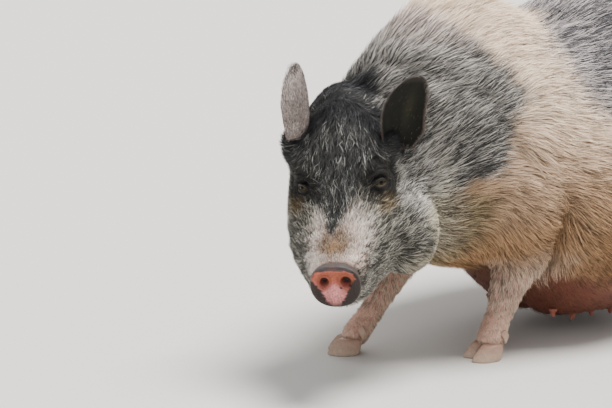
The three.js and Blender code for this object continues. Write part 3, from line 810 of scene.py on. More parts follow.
def mark_brow(marks, points):
    """Black forehead with a wedge between the eyes, velvet crown, dark ovals round the eyes, tear stains."""
    side, back, rise = to_head(points).T
    wander = drift(points)
    head = face_share(points)
    wedge = soft(0.52 * (back - 52) - np.abs(side + 8) + 0.4 * wander, -6, 6) * soft(rise, 22, 42)
    crown = soft(back + 0.3 * wander, 120, 144) * soft(rise + 0.3 * wander, 74, 104)
    nape = (1 - head) * bell(back, 258, 30) * soft(rise, 124, 156)
    nape = nape * soft(side, -90, -50) * (1 - soft(side, 14, 54))
    black = np.maximum(head * np.maximum(wedge, crown), np.clip(1.5 * nape, 0, 1))
    higher = soft(back, 130, 176)
    deep = 0.87 + 0.08 * higher - 0.13 * ripple(points, 40, 9) * (1 - 0.5 * higher)
    marks.lay(black, light=(186, 186, 182), dark=(17, 18, 21), skin=(22, 22, 24), share=deep)
    velvet = black * soft(back + 0.25 * wander, 186, 214) * soft(rise, 90, 130)
    root = bell(np.abs(side), 64, 26) * bell(back, 220, 26) * soft(rise, 66, 96)
    velvet = np.maximum(velvet, np.clip(1.5 * root, 0, 1))
    marks.lay(velvet, light=(84, 84, 90), dark=(16, 17, 22), skin=(12, 12, 15), share=0.97)
    reach = eye_reach(side, back, rise)
    oval = head * (1 - soft(reach + 0.2 * wander, 29, 43))
    marks.lay(oval, light=(96, 92, 86), dark=(15, 15, 15), skin=(26, 24, 24), share=0.9)
    marks.strip(0.75 * head * (1 - soft(reach, 15, 27)))
    tear = head * bell(rise, 52, 11) * bell(back, 124, 14) * soft(np.abs(side), 40, 52)
    marks.lay(tear * (0.7 + 0.5 * ripple(points, 12, 13)), light=(186, 156, 104), dark=(104, 82, 48))
    # A strip behind the disc and the lips stays nearly bare
    marks.strip(head * (1 - soft(back, 8, 17)))
    marks.strip(0.6 * head * bell(rise, -37 + 0.13 * back, 7) * (1 - soft(back, 90, 110)))


def markings(points):
    """Light hair, dark hair, dark share, skin and bare share, each marking laid over those before it."""
    marks = Marks(len(points))
    for lay_on in (mark_body, mark_legs, mark_cheeks, mark_muzzle, mark_brow):
        lay_on(marks, points)
    return marks.light, marks.dark, np.clip(marks.share, 0, 1), marks.skin, marks.bare


def eye_reach(side, back, rise):
    """Distance in mm from the middle of the nearer eye's opening, stretched along the head."""
    spots = np.stack([side, back, rise], -1)
    gaps = []
    for way in (1, -1):
        opening = np.array(EYES[way]) + [8 * way, -4, 9]
        gaps.append(np.linalg.norm((spots - opening) / [1, 1.2, 1], axis=1))
    return np.minimum(*gaps)


def tail_share(points):
    """1 on the tail, 0 elsewhere."""
    left, forward, up = design_spot(points).T
    return soft(-forward, 462, 474) * (np.abs(left - 10) < 30)


def hair_lie(points, normals):
    """The lie of the hair: back over the body, down the legs, back from the disc, and down the brow."""
    left, forward, up = design_spot(points).T
    side, back, rise = to_head(points).T
    way = np.sign(left)
    one = np.ones(len(points))
    slant = -0.22 - 0.35 * (1 - soft(up, 150, 420))
    body = np.stack([0.10 * way * soft(up, 440, 560), one, slant], -1)
    neck = np.stack([0.15 * way, one, 0.50 * one], -1)
    ahead = soft(forward + 0.25 * (up - 400), 240, 340)
    body = body + (neck - body) * ahead[:, None]
    rump = (1 - soft(forward, -430, -300))[:, None]
    body = body + (np.array([0, 0.35, -1.0]) - body) * rump
    low = ((1 - soft(up, 110, 230)) * (np.abs(left) > 45))[:, None]
    body = body + (np.array([0, 0.12, -1.0]) - body) * low * (1 - low_belly(points))[:, None]
    tail = tail_share(points)[:, None]
    body = body + (np.array([0, 0.1, -1.0]) - body) * tail
    fringe = elbow_fringe(left, forward, up)[:, None]
    body = body + (np.array([0, 0.8, -0.7]) - body) * fringe

    muzzle = np.stack([0.004 * side, one, 0.28 - 0.006 * np.clip(-rise, 0, 60)], -1)
    cheek = np.stack([0.35 * np.sign(side), one, -0.10 - 0.3 * soft(-rise, 0, 60)], -1)
    face = muzzle + (cheek - muzzle) * soft(back, 90, 150)[:, None]
    brow = np.stack([0.006 * side, -one, -0.9 * one], -1)
    over = soft(rise + 0.4 * back, 128, 160) * (1 - soft(back, 225, 262)) * soft(back, 84, 112)
    face = face + (brow - face) * (over * (1 - soft(np.abs(side), 44, 70)))[:, None]
    behind = np.stack([0.2 * np.sign(side), one, 0.7 * one], -1)
    face = face + (behind - face) * (soft(back, 210, 250) * soft(rise, 60, 120))[:, None]
    face = face @ HEAD_TURN.T
    lie = body + (face - body) * head_share(side, back, rise)[:, None]
    swing = np.stack([ripple(points, 120, 10), ripple(points, 120, 11), ripple(points, 120, 12)], -1)
    lie = lie / np.linalg.norm(lie, axis=1)[:, None] + 0.16 * swing
    lie -= normals * (lie * normals).sum(1)[:, None]
    return lie / np.maximum(np.linalg.norm(lie, axis=1), 1e-9)[:, None]


def low_belly(points):
    """1 under the trunk between the forelegs and the hind legs, 0 elsewhere."""
    left, forward, _ = design_spot(points).T
    return 1.0 * ((forward > -235) & (forward < 120) & (np.abs(left) < 240))


def elbow_fringe(left, forward, up):
    """1 along the back edge of each forearm: a bell in height times a smooth step behind the leg's middle."""
    fringe = np.zeros(len(up))
    for leg in ("fore_left", "fore_right"):
        rows = LEGS[leg][0]
        behind = leg_line(rows, up)[1] - forward
        # On the leg's own side, and at least about 40 mm out
        outer = left * rows[-1][0] > 3600
        fringe = np.maximum(fringe, outer * bell(up, 138, 24) * soft(behind, 12, 30) * (behind < 60))
    return fringe


def hair_size(points):
    """Length, height of the tips over the skin and width in mm, and tufts per square metre."""
    left, forward, up = design_spot(points).T
    side, back, rise = to_head(points).T
    head = head_share(side, back, rise, (205, 250))
    crest = soft(up, 500, 560) * soft(forward, -20, 180) * bell(left, 20, 80)
    low = (1 - soft(up, 120, 230)) * (np.abs(left) > 45)
    under = (1 - soft(up, 90, 150)) * (np.abs(left) < 230) * (forward > -240) * (forward < 200) * (1 - low)
    size = np.tile(np.array(HAIR_SIZES["body"], float)[:, None], (1, len(points)))
    for place, share in (
        ("crest", crest),
        ("neck", soft(forward, 240, 320) * (1 - crest)),
        ("legs", low),
        ("feet", 1 - soft(up, 60, 120)),
        ("elbows", elbow_fringe(left, forward, up)),
        ("tail", tail_share(points)),
        ("belly", under),
        ("head", head),
        ("brow", head * soft(rise, 100, 135) * soft(back, 125, 150)),
        ("crown", soft(rise, 120, 150) * bell(back, 244, 46) * (np.abs(side) < 110)),
        ("muzzle", head * (1 - soft(back, 62, 116))),
        ("chin", head * (1 - soft(back, 50, 84)) * (1 - soft(rise, -50, -36))),
        ("eyes", head * (1 - soft(eye_reach(side, back, rise), 20, 34))),
    ):
        size = size + (np.array(HAIR_SIZES[place], float)[:, None] - size) * share
    return size


def neighbours(edges, count, most=8):
    """For each point, up to eight points it shares an edge with; gaps hold the point itself."""
    pairs = np.vstack([edges, edges[:, ::-1]])
    pairs = pairs[np.argsort(pairs[:, 0], kind="stable")]
    first = np.searchsorted(pairs[:, 0], np.arange(count))
    rank = np.arange(len(pairs)) - first[pairs[:, 0]]
    pairs, rank = pairs[rank < most], rank[rank < most]
    table = np.tile(np.arange(count)[:, None], (1, most))
    table[pairs[:, 0], rank] = pairs[:, 1]
    return table


def settled(spots, start, height, points, normals, table, steps):
    """Spots put at `height` over the skin, found by stepping from point to nearer point along its edges."""
    here = start.copy()
    for _ in range(steps):
        around_here = table[here]
        gap = points[around_here] - spots[:, None]
        nearest = np.argmin((gap * gap).sum(-1), axis=1)
        best = around_here[np.arange(len(here)), nearest]
        gain = ((points[here] - spots) ** 2).sum(1) > (gap[np.arange(len(here)), nearest] ** 2).sum(1)
        here = np.where(gain, best, here)
    over = ((spots - points[here]) * normals[here]).sum(1)
    return spots + normals[here] * (height / 1000 - over)[:, None], normals[here]


def scattered(points, normals, triangles, density, count_scale):
    """Random spots on the skin, `density` of them per area: spot, normal and nearest point of each."""
    a, b, c = (points[triangles[:, k]] for k in range(3))
    area = np.linalg.norm(np.cross(b - a, c - a), axis=1) / 2
    weight = area * density[triangles].mean(1) * count_scale
    total = np.cumsum(weight)
    pick = np.searchsorted(total, rng.uniform(0, total[-1], int(total[-1])))
    pick = np.minimum(pick, len(triangles) - 1)
    share = rng.dirichlet((1, 1, 1), len(pick))
    corners = triangles[pick]
    spots = (points[corners] * share[..., None]).sum(1)
    facing = (normals[corners] * share[..., None]).sum(1)
    facing /= np.linalg.norm(facing, axis=1)[:, None]
    return spots, facing, corners[np.arange(len(pick)), share.argmax(1)]


def tufts(spots, facing, start, sizes, lie, surface, clump=0.75, lock=15.0, fine=0.0):
    """Spine of each tuft: four spots that rise as s^0.7 over the skin, pulled into locks `lock` mm wide.

    `fine` tufts, from 0 to 1, stray more and gather in locks of 7 mm.
    """
    points, normals, table = surface
    length, height, width, _ = sizes
    n = len(spots)
    length = length * rng.uniform(0.65, 1.2, n)
    height = height * rng.uniform(0.35, 1.15, n) * np.where(rng.uniform(size=n) < 0.05, 1.3, 1.0)
    lie = lie + rng.normal(0, 0.13, (n, 3)) * (1 + 1.3 * np.broadcast_to(fine, n)[:, None])
    lie -= facing * (lie * facing).sum(1)[:, None]
    lie /= np.linalg.norm(lie, axis=1)[:, None]
    gather = ripple_slope(spots, lock, 20) + 0.6 * ripple_slope(spots, lock * 2.4, 21)
    fine = np.broadcast_to(fine, n)[:, None]
    gather = gather * (1 - fine) + 1.1 * ripple_slope(spots, 7, 22) * fine
    gather -= facing * (gather * facing).sum(1)[:, None]
    gather *= (clump * np.minimum(length / 40, 1.0))[:, None] / 1000
    spine, ups = [spots - facing * 0.0012], [facing]
    for share in (0.36, 0.7, 1.0):
        goal = spots + lie * (length * share / 1000)[:, None] + gather * share**1.3
        rise = height * share**0.7 + 0.6
        spot, up = settled(goal, start, rise, points, normals, table, 9 if share < 0.5 else 16)
        spine.append(spot)
        ups.append(up)
    return np.stack(spine, 1), np.stack(ups, 1), width * rng.uniform(0.8, 1.2, n)


def blades(spine, ups, width, short):
    """Flat tapering blades along the spines: seven points and five faces, or five and three when short."""
    if short:
        spine, ups = spine[:, [0, 2, 3]], ups[:, [0, 2, 3]]
    run = np.gradient(spine, axis=1)
    across = np.cross(run, ups)
    across /= np.maximum(np.linalg.norm(across, axis=2), 1e-9)[..., None]
    roll = rng.normal(0, 0.4, len(spine))[:, None, None]
    across = across * np.cos(roll) + ups * np.sin(roll)
    taper = np.array([0.8, 1.0, 0.72])[: spine.shape[1] - 1]
    half = width[:, None] * taper[None] / 2000
    body = spine[:, :-1]
    pair = np.stack([body - across[:, :-1] * half[..., None], body + across[:, :-1] * half[..., None]], 2)
    points = np.concatenate([pair.reshape(len(spine), -1, 3), spine[:, -1:]], 1)
    if short:
        faces = np.array([[0, 1, 3], [0, 3, 2], [2, 3, 4]])
        along = np.array([0, 0, 0.6, 0.6, 1.0])
        aside = np.array([-1, 1, -1, 1, 0])
    else:
        faces = np.array([[0, 1, 3], [0, 3, 2], [2, 3, 5], [2, 5, 4], [4, 5, 6]])
        along = np.array([0, 0, 0.36, 0.36, 0.7, 0.7, 1.0])
        aside = np.array([-1, 1, -1, 1, -1, 1, 0])
    return points, faces, along, aside


def coat_piece(name, blade, colours, root_places, material):
    """Many blades as one mesh, with colours and the map OFBake: a patch 0.003 wide at each root's place."""
    points, faces, along, aside = blade
    n, m = points.shape[:2]
    triangles = (faces[None] + (np.arange(n) * m)[:, None, None]).reshape(-1, 3)
    piece = make_mesh(name, points.reshape(-1, 3), [triangles], [material])
    paint(piece.data, "tone", colours.reshape(-1, 3))
    patch = np.stack([aside * 0.0013, along * 0.003], -1)
    places = np.clip(root_places, 0.004, 0.994)[:, None] + patch[None]
    layer = piece.data.uv_layers.new(name="OFBake")
    layer.data.foreach_set("uv", places.reshape(-1, 2)[triangles.ravel()].astype(np.float32).ravel())
    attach(piece, "root")


def skin_height(x, y, local, spread=2.6):
    """The skin's height over an eye's plane: nearby points' mean, weighted by exp(-(distance / spread)^2)."""
    near = local[(np.hypot(local[:, 0], local[:, 1]) < 44) & (np.abs(local[:, 2]) < 40)]
    gap = (x.ravel()[:, None] - near[:, 0]) ** 2 + (y.ravel()[:, None] - near[:, 1]) ** 2
    weight = np.exp(-gap / spread**2) + 1e-12
    return ((weight * near[:, 2]).sum(1) / weight.sum(1)).reshape(x.shape)


def lids(eye, points, columns=96, rows=40):
    """Lids: an almond carried outward by `offset` mm, from a rolled edge on the ball to the skin."""
    centre, axes = eye
    local = (points - centre) @ axes.T * 1000
    angle = np.linspace(0, 2 * np.pi, columns, endpoint=False)[None]
    offset = (np.linspace(0, 1, rows) ** 1.5 * 27 - 1.0)[:, None]
    tall = np.where(np.sin(angle) > 0, 3.9, 3.4)
    x0 = 9.2 * np.cos(angle)
    y0 = tall * np.sign(np.sin(angle)) * np.abs(np.sin(angle)) ** 1.3 - 0.8 + 0.06 * x0
    x = x0 + offset * np.cos(angle) * 0.95
    y = y0 + offset * np.sin(angle) * 0.95
    reach = np.hypot(x, y)
    radius = EYE_RADIUS
    ball = np.sqrt(np.maximum(radius**2 - reach**2, (0.25 * radius) ** 2))
    upper = soft(np.sin(angle), -0.2, 0.5)
    roll = 1.6 * soft(offset, -1, 0.6) + (1.4 + 1.0 * upper) * bell(offset, 2.6, 2.0)
    fold = 2.6 * bell(offset, 9, 2.0) * (0.7 + 0.3 * upper)
    fold = fold - 1.6 * bell(offset, 12.2, 1.2) + 2.0 * bell(offset, 15.4, 1.9)
    fold = fold - 1.8 * bell(offset, 5.8, 1.0) + 1.1 * bell(offset, 20.6, 1.8) - 3.0 * soft(offset, 22, 26)
    fold = fold + 0.35 * np.sin(5 * angle + offset) * bell(offset, 9, 6)
    ground = np.maximum(skin_height(x, y, local), ball - 4)
    z = (ball + roll) * (1 - soft(offset, 3, 12)) + (ground + fold) * soft(offset, 3, 12)
    spots = centre + np.stack([x, y, z], -1) @ axes / 1000
    return spots, offset + 0 * angle


def eyeball(eye, columns=64, rows=40):
    """Eyeball: radius - 0.4 + 0.9 exp(-(t / 0.5)^2) at the angle t from the gaze, with pupil and iris."""
    centre, axes = eye
    t = (np.linspace(0, 1, rows) ** 1.3 * (np.pi - 0.02) + 0.01)[:, None]
    a = np.linspace(0, 2 * np.pi, columns, endpoint=False)[None]
    radius = EYE_RADIUS - 0.4 + 0.9 * bell(t, 0, 0.5)
    x, y, z = radius * np.sin(t) * np.cos(a), radius * np.sin(t) * np.sin(a), radius * np.cos(t) + 0 * a
    spots = centre + np.stack([x, y, z], -1) @ axes / 1000
    size = radius * np.sin(t)
    pupil = np.hypot(x / 3.6, y / 2.7)
    streak = 0.5 + 0.5 * np.cos(23 * a + 2 * np.sin(5 * a)) * bell(size, 4.6, 2)
    colour = np.tile(srgb(60, 54, 20), (rows, columns, 1)) * (0.5 + 0.6 * streak[..., None])
    colour = mixed(colour, srgb(42, 33, 13), soft(size, 4.2, 2.6))
    colour = mixed(colour, srgb(6, 5, 4), 1 - soft(pupil, 0.85, 1.15))
    colour = mixed(colour, srgb(12, 9, 7), bell(size, 7.2, 0.7))
    colour = mixed(colour, srgb(16, 12, 10), soft(size, 7.3, 8.2))
    return spots, np.where((z < 0)[..., None], srgb(100, 70, 62), colour)


# Snout disc: half width, height above and below its middle, and the power of its outline
DISC = {"half": 36.6, "above": 31.6, "below": 37.0, "power": 2.25}
NOSTRIL = {"side": 15.8, "up": 3.5, "slant": 0.25, "deep": 15}

# Half width of the disc's pink part, against height
PINK_EDGE = [(-36, 5), (-27, 11), (-12, 19), (0, 25), (9, 32), (20, 27), (25, 6)]


def snout_disc(rows=96, columns=160):
    """The disc: rings |side / a|^p + |up / b|^p = share^p, dished, with a rim, a wall and two nostrils."""
    rim, wall = 10, 12
    flat = rows - rim - wall
    share = np.concatenate([np.linspace(0.01, 0.93, flat), np.linspace(0.94, 1.0, rim), np.ones(wall)])
    share[-wall:] = 1.0 - 0.055 * np.linspace(0, 1, wall) ** 1.5
    rounded = -4.6 + 4.2 * (1 - np.sqrt(1 - np.linspace(0, 0.98, rim) ** 2))
    back = np.concatenate([np.full(flat, -4.6), rounded, np.linspace(0.2, 9, wall)])
    share, back = share[:, None], back[:, None]
    angle = np.linspace(0, 2 * np.pi, columns, endpoint=False)[None]
    c, s = np.cos(angle), np.sin(angle)
    side = np.sign(c) * np.abs(c) ** (2 / DISC["power"]) * DISC["half"] * share
    tall = np.where(s > 0, DISC["above"], DISC["below"])
    up = np.sign(s) * np.abs(s) ** (2 / DISC["power"]) * tall * share - 0.8
    face = np.arange(rows)[:, None] < rows - 16
    depth = back + 0 * angle
    depth = depth + face * (1.8 * (1 - share**2) - 1.1 * bell(share, 0.86, 0.09))
    # Nostrils: slanted ovals, with a swollen lip round each
    hole = np.ones_like(side) * 99
    for way in (-1, 1):
        aside, above = side - way * NOSTRIL["side"], up - NOSTRIL["up"]
        slant = NOSTRIL["slant"] * way
        x = aside * math.cos(slant) + above * math.sin(slant)
        y = -aside * math.sin(slant) + above * math.cos(slant)
        hole = np.minimum(hole, np.hypot(x / (1.02 + 0.1 * way), y / (1.2 + 0.06 * way)))
    depth = depth + face * (NOSTRIL["deep"] * (1 - soft(hole, 4.0, 7.6)) - 1.5 * bell(hole, 9.6, 2.0))
    # A groove between them, and fine wrinkles below and above
    depth = depth + face * 1.0 * bell(side, 0, 3.5) * soft(up, -24, -4) * (1 - soft(up, 8, 20))
    low = face * (1 - soft(up, -14, 0))
    depth = depth + low * 0.28 * np.sin(2 * np.pi * (side + 0.6 * np.sin(up / 3)) / 2.7)
    depth = depth + face * 0.25 * np.cos(2 * np.pi * up / 3.9 + side / 9) * soft(up, 8, 22)
    spots = from_head(side, depth, up)
    return spots, disc_tones(spots, side, up, hole, face)


def disc_tones(spots, side, up, hole, face):
    """Orange above and pink below, dark grey outside and over the top, with a mole and dark red nostrils
    deepened as painted shade in their openings.
    """
    colour = np.tile(srgb(178, 92, 72), (*side.shape, 1))
    colour = mixed(colour, srgb(214, 138, 140), soft(-up + 0.16 * np.abs(side), -6, 7) * bell(side, -2, 30))
    streak = np.sin(2 * np.pi * (side + 1.6 * np.sin(up / 4) + 2.4 * ripple(spots, 9, 44)) / 6.0)
    colour = mixed(colour, srgb(118, 78, 68), soft(-up, 6, 30) * (0.4 + 0.3 * streak))
    colour = mixed(colour, srgb(122, 60, 34), bell(hole, 9.0, 4.4) * 0.8)
    colour = mixed(colour, srgb(146, 72, 44), bell(side, 0, 12) * bell(up, 14, 7) * 0.7)
    colour = colour * (1 + 0.16 * ripple(spots, 4, 42) + 0.1 * ripple(spots, 9, 43))[..., None]
    colour = mixed(colour, srgb(62, 46, 38), soft(-up, 27, 36))
    grain = ripple(spots, 7, 40) + 0.6 * ripple(spots, 3, 41)
    wide = np.interp(up, *np.array(PINK_EDGE).T)
    outside = soft(np.abs(side + 1.5) * (1 + 0.07 * (side > 0)) + 1.5 * grain, wide - 1.5, wide + 2.5)
    colour = mixed(colour, srgb(13, 15, 13), outside * 0.97)
    colour = mixed(colour, srgb(62, 57, 60), soft(up + grain, 20.5, 23.5) * 0.92)
    colour = mixed(colour, srgb(24, 18, 20), 1 - soft(np.hypot(side - 7.6, up + 6), 1.5, 2.5))
    # Nostrils: dark red lining, darkened as painted shade inside the openings
    colour = mixed(colour, srgb(52, 22, 18), 1 - soft(hole, 3.6, 7.2))
    return mixed(colour, srgb(66, 58, 56), (~face) * 0.8)


# Ears: half width and cup; root as side, back and up in the head; turn, splay and lean in degrees; length;
# and how far to the side the tip is drawn, the middle bows and the lobe swells
EAR_HALF, EAR_CUP = 33, 18
EAR_POSES = {
    "left": {
        "root": (89, 208, 124),
        "turn": 30,
        "splay": 12,
        "lean": 8,
        "length": 101,
        "tip": 4,
        "bow": 5,
        "lobe": 9,
    },
    "right": {
        "root": (70, 214, 150),
        "turn": 112,
        "splay": -5,
        "lean": -4,
        "length": 94,
        "tip": -10,
        "bow": 0,
        "lobe": 0,
    },
}


def ear(name, rows=56, columns=96):
    """An ear: half (0.8 + 0.9t - 0.5t^2) sqrt(1 - t^3.4) wide, cupped by cup (1 - 0.7t)(1 - across^2)."""
    pose = EAR_POSES[name]
    way = 1 if name == "left" else -1
    rise = np.sin(np.linspace(0, 1, rows) * np.pi / 2)[:, None]
    a = np.linspace(0, 2 * np.pi, columns, endpoint=False)[None]
    across = np.cos(a) + 0 * rise
    width = EAR_HALF * (0.8 + 0.9 * rise - 0.5 * rise**2) * np.sqrt(np.maximum(1 - rise**3.4, 0.0006))
    middle = pose["tip"] * rise**4 - pose["bow"] * np.sin(np.pi * rise)
    width = width + pose["lobe"] * bell(rise, 0.1, 0.3) * soft(across, 0, 0.8)
    width = width * (1 + 0.012 * np.sin(9 * rise + 2 * across) + 0.02 * bell(rise, 0.62, 0.1) * (across > 0))
    thick = (1.5 - 0.8 * rise) * 2.6 * np.sqrt(np.maximum(1 - rise**6, 0.02))
    thick = thick * (0.45 + 0.55 * (1 - across**2))
    cup = EAR_CUP * (1 - 0.7 * rise)
    y = cup * (1 - across**2) + 4 * np.sin(np.pi * rise) + np.sin(a) * thick
    inside = np.sin(a) < 0
    folds = 1.2 * np.cos(across * 9 + 1.2 * np.sin(4 * rise)) * bell(rise, 0.35, 0.3) * (1 - across**2)
    y = y + inside * folds - 2.5 * bell(rise, 0.97, 0.1) * (1 - across**2)
    # The rim curls a little, and a lobe hangs from the root
    y = y - 3.0 * np.abs(across) ** 6 * bell(rise, 0.5, 0.35)
    lobe = bell(rise, 0, 0.1) * (pose["lobe"] > 0)
    width = width * (1 - 0.38 * lobe * soft(across, 0, 0.7))
    z = pose["length"] * rise - 14 * (1 - rise) - 9 * lobe + 0 * a
    local = np.stack([across * width + middle, y, z], -1)
    turned = turn("Z", way * math.radians(pose["turn"])) @ turn("Y", way * math.radians(pose["splay"]))
    turned = turned @ turn("X", math.radians(pose["lean"]))
    local = local @ turned.T + np.array(pose["root"]) * [way, 1, 1]
    return from_head(*np.moveaxis(local, -1, 0)), rise + 0 * a, across, inside & (np.abs(across) < 0.995)


def ear_tones(label, rise, across, inside):
    """Ear skin: grey outside, dark inside with a painted sheen down the cup, and a brownish rim and dusky
    tip.
    """
    tones = np.tile(srgb(96, 92, 90) if label == "left" else srgb(150, 136, 132), (*rise.shape, 1))
    tones = mixed(tones, srgb(12, 13, 8), 1.0 * inside)
    # Painted sheen: a paler streak down the middle of the dark cup
    tones = mixed(tones, srgb(36, 36, 21), inside * bell(across, 0.35, 0.22) * bell(rise, 0.5, 0.25) * 0.8)
    tones = mixed(tones, srgb(112, 92, 80), soft(np.abs(across), 0.9, 0.99) * 0.8)
    return mixed(tones, srgb(50, 44, 42), soft(rise, 0.86, 0.96) * 0.8)


def grid_tube(name, rings, material, colours):
    """A closed surface from rings, each end closed by a fan, with its colours."""
    pile = Pile()
    pile.tube(rings)
    thing = pile.mesh(name, material)
    ends = np.array([colours[0].mean(0), colours[-1].mean(0)])
    paint(thing.data, "tone", np.concatenate([colours.reshape(-1, 3), ends]))
    return thing


# Hooves and teats, in millimetres
HOOF = {"length": 52, "half": 14, "height": 27}
TEATS = {"side": 70, "first": -178, "step": 50, "count": 6, "radius": 7.0, "length": 15.0}


def hoof(side, size, rows=22, columns=56):
    """A hoof: rings that lean back 11t, shrink by 0.34 t^2 and are pointed in front by 1 - 0.6 cos^3."""
    t = np.linspace(0, 1, rows)[:, None]
    a = np.linspace(0, 2 * np.pi, columns, endpoint=False)[None]
    ahead = np.cos(a)
    length = HOOF["length"] / 2 * size * (1 - 0.34 * t**2)
    half = HOOF["half"] * size * (1 - 0.12 * t)
    ring = 1 + 0.014 * np.sin(2 * np.pi * t * 6 + 0.6 * np.sin(3 * a))
    ring = ring - 0.10 * bell(t, 0, 0.05) - 0.12 * soft(t, 0.9, 1.0)
    pinch = np.where(ahead > 0, 1 - 0.6 * ahead**3, 1)
    x = side * (HOOF["half"] * size + 1.2) + np.sin(a) * half * pinch * ring * side
    y = 11 * size * t - ahead * length * ring
    z = HOOF["height"] * size * t + 0 * a
    return np.stack([x, y, z], -1)


def dewclaw(side):
    """A claw of 0.4 of a hoof's size, turned so that it points back and down from behind the fetlock."""
    rings = hoof(side, 0.4) * np.array([1, -1, 1])
    rings = rings @ turn("X", math.radians(-62)).T
    return rings + np.array([side * 11.0, 28.0, 34.0])


def feet(foot):
    """The claws of a foot, in the frame: two hooves turned by its yaw, and two dewclaws behind them."""
    left, forward, yaw = foot
    rings = []
    for side in (-1, 1):
        rings.append(hoof(side, 1.0))
        rings.append(dewclaw(side))
    turned = turn("Z", math.radians(yaw))
    origin = frame_spot(left, forward, 0.0)
    made = [origin + r @ turned.T / 1000 for r in rings]
    flipped = (False, True, True, False)
    return [r[:, ::-1] if flip else r for r, flip in zip(made, flipped)]


def node(tree, kind, inputs=None, **settings):
    """A shader node with its settings and its unlinked values."""
    made = tree.nodes.new(kind)
    for key, value in settings.items():
        setattr(made, key, value)
    for key, value in (inputs or {}).items():
        made.inputs[key].default_value = value
    return made


def painted(name, roughness, specular, grain=None, subsurface=0.0, wrinkle=None):
    """A finish in the piece's own tone; `grain` is a noise's scale, its share of the tone and its bump."""
    material = bpy.data.materials.new(name)
    material.use_nodes = True
    tree = material.node_tree
    shader = tree.nodes["Principled BSDF"]
    shader.inputs["Roughness"].default_value = roughness
    shader.inputs["Specular IOR Level"].default_value = specular
    shader.inputs["Subsurface Weight"].default_value = subsurface
    shader.inputs["Subsurface Radius"].default_value = (0.006, 0.002, 0.001)
    tone = node(tree, "ShaderNodeAttribute", attribute_name="tone")
    colour = tone.outputs["Color"]
    if grain:
        size, depth, bump = grain
        place = node(tree, "ShaderNodeTexCoord")
        noise = node(tree, "ShaderNodeTexNoise", {"Scale": size, "Detail": 4.0, "Roughness": 0.65})
        tree.links.new(place.outputs["Object"], noise.inputs["Vector"])
        limits = {"From Min": 0.3, "From Max": 0.7, "To Min": 1 - depth, "To Max": 1 + depth}
        spread = node(tree, "ShaderNodeMapRange", limits)
        tree.links.new(noise.outputs["Fac"], spread.inputs["Value"])
        blend = node(tree, "ShaderNodeVectorMath", operation="SCALE")
        tree.links.new(colour, blend.inputs[0])
        tree.links.new(spread.outputs["Result"], blend.inputs["Scale"])
        colour = blend.outputs["Vector"]
        bumps = node(tree, "ShaderNodeBump", {"Strength": 0.6, "Distance": bump})
        height = noise.outputs["Fac"]
        if wrinkle:
            cells = node(tree, "ShaderNodeTexVoronoi", {"Scale": wrinkle}, feature="DISTANCE_TO_EDGE")
            tree.links.new(place.outputs["Object"], cells.inputs["Vector"])
            edge = node(tree, "ShaderNodeMapRange", {"From Max": 0.12})
            tree.links.new(cells.outputs["Distance"], edge.inputs["Value"])
            total = node(tree, "ShaderNodeMath", operation="ADD")
            tree.links.new(height, total.inputs[0])
            tree.links.new(edge.outputs["Result"], total.inputs[1])
            height = total.outputs["Value"]
        tree.links.new(height, bumps.inputs["Height"])
        tree.links.new(bumps.outputs["Normal"], shader.inputs["Normal"])
    tree.links.new(colour, shader.inputs["Base Color"])
    return material


HAIR = painted("bristle", 0.55, 0.16)
HIDE = painted("hide", 0.62, 0.3, grain=(420.0, 0.16, 0.0011), wrinkle=260.0, subsurface=0.05)
NOSE = painted("wet nose skin", 0.38, 0.34, grain=(900.0, 0.12, 0.0006), wrinkle=520.0, subsurface=0.12)
LID = painted("lid skin", 0.5, 0.26, grain=(800.0, 0.2, 0.0007), wrinkle=420.0)
EYE_GLASS = painted("wet eye", 0.12, 0.14)
EAR_SKIN = painted("ear skin", 0.6, 0.2, grain=(500.0, 0.2, 0.0008), wrinkle=330.0, subsurface=0.08)
HORN = painted("horn", 0.42, 0.45, grain=(350.0, 0.14, 0.0007))


def settle(thing, slot, *nodes):
    """The piece rides on the body and stands for its CAD nodes; `slot` is not used."""
    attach(thing, "root")
    if nodes:
        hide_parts(*nodes)
    return thing


def rescaled(values):
    """Values stretched to run from 0 to 1."""
    low, high = values.min(), values.max()
    return (values - low) / max(high - low, 1e-9)


def body_unwrap(spots):
    """The trunk unrolled: angle round its middle, and place along it."""
    left, forward, up = design_spot(spots).T
    return np.stack([rescaled(np.arctan2(left, up - 290)), rescaled(forward)], -1)


def head_unwrap(spots):
    """The head unrolled: angle round its middle, and place behind the disc."""
    side, back, rise = to_head(spots).T
    return np.stack([rescaled(np.arctan2(side, rise - 20)), rescaled(back)], -1)


def leg_unwrap(spots):
    """The legs unrolled side by side: which leg and the angle round it, and height."""
    left, forward, up = design_spot(spots).T
    which = 2 * (left > 0) + (forward > 0)
    aside, ahead = np.zeros(len(spots)), np.zeros(len(spots))
    for k, leg in enumerate(("hind_right", "fore_right", "hind_left", "fore_left")):
        middle, along = leg_line(LEGS[leg][0], up)
        aside = np.where(which == k, left - middle, aside)
        ahead = np.where(which == k, forward - along, ahead)
    angle = np.arctan2(aside, ahead) / (2 * np.pi) + 0.5
    return np.stack([(which + 0.04 + 0.92 * angle) / 4, rescaled(up)], -1)


